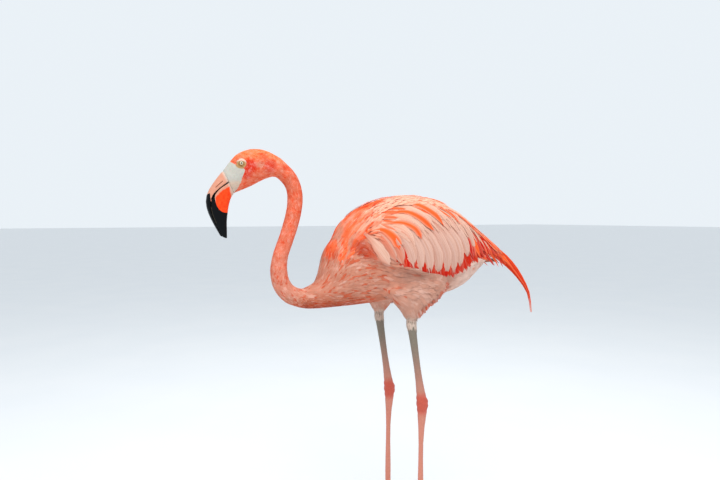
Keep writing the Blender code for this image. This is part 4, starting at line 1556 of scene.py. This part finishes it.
def tail_feathers(seed):
    """The tail's feathers, the middle pair on top."""
    chance = np.random.default_rng(seed)
    low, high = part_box("tail")
    middle_z = (low.z + high.z) / 2 + TAIL_RAISED
    feathers = []
    for fan in np.linspace(-1, 1, TAIL_COUNT):
        height = middle_z + 0.0035 - 0.006 * abs(fan)
        path = curve((
            (high.x - 0.004, 0.010 * fan, height + 0.001),
            ((low.x + high.x) / 2, 0.013 * fan, height + 0.001),
            (low.x + 0.004 + 0.014 * abs(fan), 0.014 * fan, height - 0.003),
        ), LONG_ROWS)
        ups = np.tile((0.0, 0.25 * fan, 1.0), (LONG_ROWS, 1))
        make = (slender, blush, (0, 0, 0), 0.08 * np.sign(fan), 0.25)
        feathers.append(long_feather(path, ups, 5.6, make, 1, chance))
    feather_piece("tail_feathers", feathers, "plumage_shell_pink", "tail")


# ---- bill ---------------------------------------------------------------------------------
BILL_VOXEL = 0.0008
BILL_PINK = paint(204, 138, 112)
BILL_ORANGE = paint(234, 50, 7)
BILL_BLACK = paint(5, 8, 11)
NOSTRIL_BROWN = paint(122, 62, 34)
LAMELLA_HORN = paint(120, 106, 80)
GAPE = places(
    329.8, 741.4, 335.5, 738.2, 341.9, 733.7, 348.4, 729.3, 353.7, 724.3, 358, 720, 360.7, 715.6, 362.9,
    710.2,
)
UPPER_BLACK = places(
    390, 713.5, 372.7, 716.5, 365.5, 720.8, 364.9, 712.5, 364.4, 707.1, 350, 695, 325, 680, 325, 620, 390,
    620,
)
LOWER_BLACK = places(
    330.8, 740.5, 340.7, 733.9, 349.1, 727.6, 353.9, 722.4, 357.1, 717.8, 358.2, 712.4, 356.7, 704.9,
    354.6, 698.4, 351, 693, 345.7, 688.7, 339.8, 687.2, 320, 688, 320, 620, 390, 620, 380, 705, 364.2,
    713.2, 360.7, 718, 356, 722.6, 350, 728.2, 343, 733.3, 336, 737.8, 330.6, 741.3,
)
ORANGE_PATCH = places(
    332.2, 731.8, 334.5, 731.8, 340.9, 727.9, 346.3, 725, 352.4, 718.9, 355.6, 715.5, 357, 712, 357, 686,
    320, 686, 320, 706, 328.8, 715, 331.8, 724,
)
NOSTRIL = places(355.9, 730.4, 344.6, 740.9)
LAMELLAE = places(364.1, 705, 363.4, 695.2, 362.2, 687.6, 359.8, 680, 357.5, 675.1, 354.9, 669.2)


def bill_half(name, node, black):
    """One half of the bill, its root sunk into the face, with its markings as distances."""
    thing = remeshed(merged(name, (node,)), BILL_VOXEL, 24)
    mesh = thing.data
    points = points_of(mesh)
    local = turn_head(points, back=True)
    ahead = (local[:, [0, 2]] - BILL_ROOT) @ BILL_WAY
    local[:, [0, 2]] -= np.clip(0.0022 - ahead, 0, 0.0022)[:, None] * BILL_WAY
    flat = local[:, [0, 2]]
    slit, edge, gape, lamella = (
        line_distance(local, line) for line in (NOSTRIL, GAPE + LAMELLAE, GAPE, LAMELLAE)
    )
    stripe = gape - (0.0008 + 0.0004 * ease(0.345, 0.364, flat[:, 0]))
    dots = 0.0004 * np.sin(flat[:, 1] * 2 * math.pi / 0.0023)
    outward = np.sign(local[:, 1])
    local[:, 1] -= outward * 0.0009 * ease(0.0009, 0.0001, slit)
    local[:, 1] += outward * 0.0003 * bell(slit, 0.0015, 0.0006)
    local[:, 1] -= outward * 0.0005 * ease(0.0009, 0.0002, edge)
    local[:, 1] += outward * 0.0002 * bell(edge, 0.0017, 0.0006)
    move_points(mesh, turn_head(local))
    give(
        mesh, black=np.minimum(outline_distance(flat, black), stripe) / MM,
        orange=outline_distance(flat, ORANGE_PATCH) / MM, nostril=slit / MM,
        lamella=(lamella + dots) / MM, ahead=ahead / MM, lengthwise=gape / MM,
    )
    return thing


def bill_material():
    """Rosy horn with its pale base, the orange patch, the black end, nostril and lamellae."""
    finish, tree = material("bill_horn", Specular_IOR_Level=0.12)
    patches = tree.use(MOTTLE, Scale=260.0, Contrast=0.3)[0]
    ahead = tree.read("ahead")
    lines = tree.noise(tree.joined(tree.read("lengthwise") * 1.6, ahead * 0.08), 1.0, 3.0)
    orange = tree.blend(patches, BILL_ORANGE, paint(250, 88, 34))
    colour = BILL_PINK
    for share, laid_over in (
        (patches * 0.5, paint(224, 168, 144)),
        (tree.ramp(lines, 0.5, 0.7) * 0.45, paint(224, 128, 98)),
        (tree.ramp(ahead + patches, 4.6, 0.4), paint(204, 184, 170)),
        (tree.ramp(tree.read("orange") + patches, 1.3, -0.9), orange),
        (tree.ramp(tree.read("black") + patches * 0.3, 0.28, 0.02), BILL_BLACK),
        (tree.ramp(tree.read("nostril"), 0.75, 0.35), NOSTRIL_BROWN),
        (tree.ramp(tree.read("lamella"), 0.30, 0.0) * 0.5, LAMELLA_HORN),
    ):
        colour = tree.blend(share, colour, laid_over)
    tree.shade(Base_Color=colour, Roughness=0.36 + patches * 0.12)
    tree.bump(tree.use(GRAIN, Scale=1500.0)[0] * 0.3 + lines, 0.00012, 0.3)
    return finish


def make_bill():
    finish = bill_material()
    for node, black, slot in (
        ("bill_upper", UPPER_BLACK, "bill_pale_horn"),
        ("bill_lower", LOWER_BLACK, "bill_dark_horn"),
    ):
        thing = bill_half(f"{node}_horn", node, black)
        thing.data.materials.append(finish)
        piece(thing, slot, node)


# ---- eyes ---------------------------------------------------------------------------------
EYE_RINGS = 36
EYE_SIDES = 40


def eye_material():
    """Pupil, pale iris and dark rim by the distance from the line of sight, in millimetres."""
    finish, tree = material("wet_eye", Roughness=0.10, Coat_Weight=0.6, Coat_Roughness=0.03)
    gaze = tree.read("gaze")
    rays = tree.noise(tree.joined(tree.read("turn") * 9.0, gaze), 1.5, 3.0)
    colour = tree.blend(tree.ramp(rays, 0.3, 0.7), paint(232, 224, 198), paint(206, 186, 140))
    for low, high, inner in (
        (2.5, 3.3, (170, 124, 66)), (3.35, 3.6, (46, 30, 22)), (1.65, 1.45, (10, 10, 14)),
    ):
        colour = tree.blend(tree.ramp(gaze, low, high), colour, paint(*inner))
    tree.shade(Base_Color=colour)
    return finish


def make_eye(name, side, finish):
    """A ball with a slightly raised cornea, turned round the line of sight."""
    angles = math.pi * (np.arange(1, EYE_RINGS) / EYE_RINGS)[:, None] ** 1.25
    swell = 0.00025 * ease(0.0040, 0.0030, EYE_RADIUS * np.sin(angles)) * (angles < 1.5)
    radius = EYE_RADIUS - 0.00005 + swell
    turns = np.linspace(0, 2 * math.pi, EYE_SIDES, endpoint=False)
    ring = (np.sin(angles) * np.cos(turns), np.sin(angles) * np.sin(turns), np.cos(angles))
    rings = (np.stack(np.broadcast_arrays(*ring), -1) * radius[..., None]).reshape(-1, 3)
    own = np.vstack(((0, 0, EYE_RADIUS + 0.0002), rings, (0, 0, -EYE_RADIUS)))
    last = len(own) - 1
    faces = tube(1, EYE_RINGS - 1, EYE_SIDES)
    for k in range(EYE_SIDES):
        after = (k + 1) % EYE_SIDES
        faces += [(0, 1 + k, 1 + after), (last, last - EYE_SIDES + after, last - EYE_SIDES + k)]
    turned = np.array(Vector(EYE_AXIS * (1, side, 1)).to_track_quat("Z", "X").to_matrix())
    local = own @ turned.T + np.array(EYE_CENTRE) * (1, side, 1)
    thing = mesh_object(f"eyeball_{name}", turn_head(local), faces)
    gaze = np.where(own[:, 2] > 0, np.hypot(own[:, 0], own[:, 1]), EYE_RADIUS) / MM
    give(thing.data, gaze=gaze, turn=np.abs(np.arctan2(own[:, 1], own[:, 0])))
    thing.data.materials.append(finish)
    piece(thing, "iris", f"eye_{name}")


# ---- claws --------------------------------------------------------------------------------
def claw_material():
    finish, tree = material("claw_horn", Coat_Weight=0.1)
    patches = tree.use(MOTTLE, Scale=700.0, Contrast=0.3)[0]
    colour = tree.blend(patches, paint(52, 42, 40), paint(86, 70, 64))
    tree.shade(Base_Color=colour, Roughness=0.32 + patches * 0.2)
    tree.bump(tree.use(GRAIN, Scale=1800.0)[0], 0.0001, 0.3)
    return finish


def make_claws():
    finish = claw_material()
    for name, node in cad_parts.items():
        if name.startswith("claw_"):
            node.data.materials.clear()
            node.data.materials.append(finish)


# ---- the whole bird -----------------------------------------------------------------------
SKIN_OBJECT = make_skin()
PLUMAGE_TREE = plumage_tree()
make_coats()
SKIN_OBJECT.data.attributes.remove(SKIN_OBJECT.data.attributes["skin_unwrap"])
for side_name, side_sign in SIDES:
    wing_feathers(side_name, side_sign, 40 + 20 * side_sign)
    drawn_feathers(side_name, side_sign, 80 + side_sign)
    plume_feathers(side_name, side_sign, 100 + side_sign)
tail_feathers(130)
make_bill()
EYE = eye_material()
for side_name, side_sign in SIDES:
    make_eye(side_name, side_sign, EYE)
make_claws()
SKIN_OBJECT.data.materials.clear()
SKIN_OBJECT.data.materials.append(SKIN)
piece(SKIN_OBJECT, "leg_skin", *BODY_FLESH, *(f"{part}_{name}" for part in LEG_PARTS for name, _ in SIDES))


# ---- floor, light and camera --------------------------------------------------------------
def make_stage():
    """A plain pale floor that reaches far behind the bird."""
    finish, tree = material("pale_floor", Roughness=0.85)
    patches = tree.use(MOTTLE, Scale=3.0, Contrast=0.4)[0]
    tree.shade(Base_Color=tree.blend(patches, (0.76, 0.78, 0.80), (0.80, 0.81, 0.82)))
    floor = mesh_object("floor", ((-40, -40, 0), (40, -40, 0), (40, 40, 0), (-40, 40, 0)), ((0, 1, 2, 3),))
    floor.data.materials.append(finish)


def area_light(name, place, target, size, power, colour):
    lamp = bpy.data.lights.new(name, "AREA")
    lamp.shape = "DISK"
    lamp.size = size
    lamp.energy = power
    lamp.color = colour
    thing = link(bpy.data.objects.new(name, lamp))
    thing.location = place
    thing.rotation_euler = (Vector(target) - Vector(place)).to_track_quat("-Z", "Y").to_euler()


def make_light():
    world = bpy.data.worlds.new("studio")
    bpy.context.scene.world = world
    world.use_nodes = True
    background = world.node_tree.nodes["Background"]
    background.inputs["Color"].default_value = (0.86, 0.92, 0.97, 1)
    background.inputs["Strength"].default_value = 0.96
    area_light("key", (0.7, 1.3, 2.5), (0.0, 0.0, 0.6), 2.2, 42, (1.0, 0.96, 0.91))
    area_light("top", (-0.5, -0.6, 2.4), (0.0, 0.0, 0.6), 2.0, 16, (1.0, 0.99, 0.97))


def make_camera():
    """A camera at the bird's left front, about level with its back, looking slightly down."""
    camera = bpy.data.cameras.new("camera")
    camera.lens = 30.1
    camera.sensor_width = 36
    camera.clip_start = 0.02
    thing = link(bpy.data.objects.new("camera", camera))
    yaw, pitch = math.radians(29), math.radians(2.19)
    ahead = Vector((-math.sin(yaw) * math.cos(pitch), -math.cos(yaw) * math.cos(pitch), -math.sin(pitch)))
    thing.location = (0.6389, 1.007, 0.68)
    thing.rotation_euler = ahead.to_track_quat("-Z", "Y").to_euler()
    bpy.context.scene.camera = thing
    bpy.context.scene.view_settings.view_transform = "Standard"


make_stage()
make_light()
make_camera()
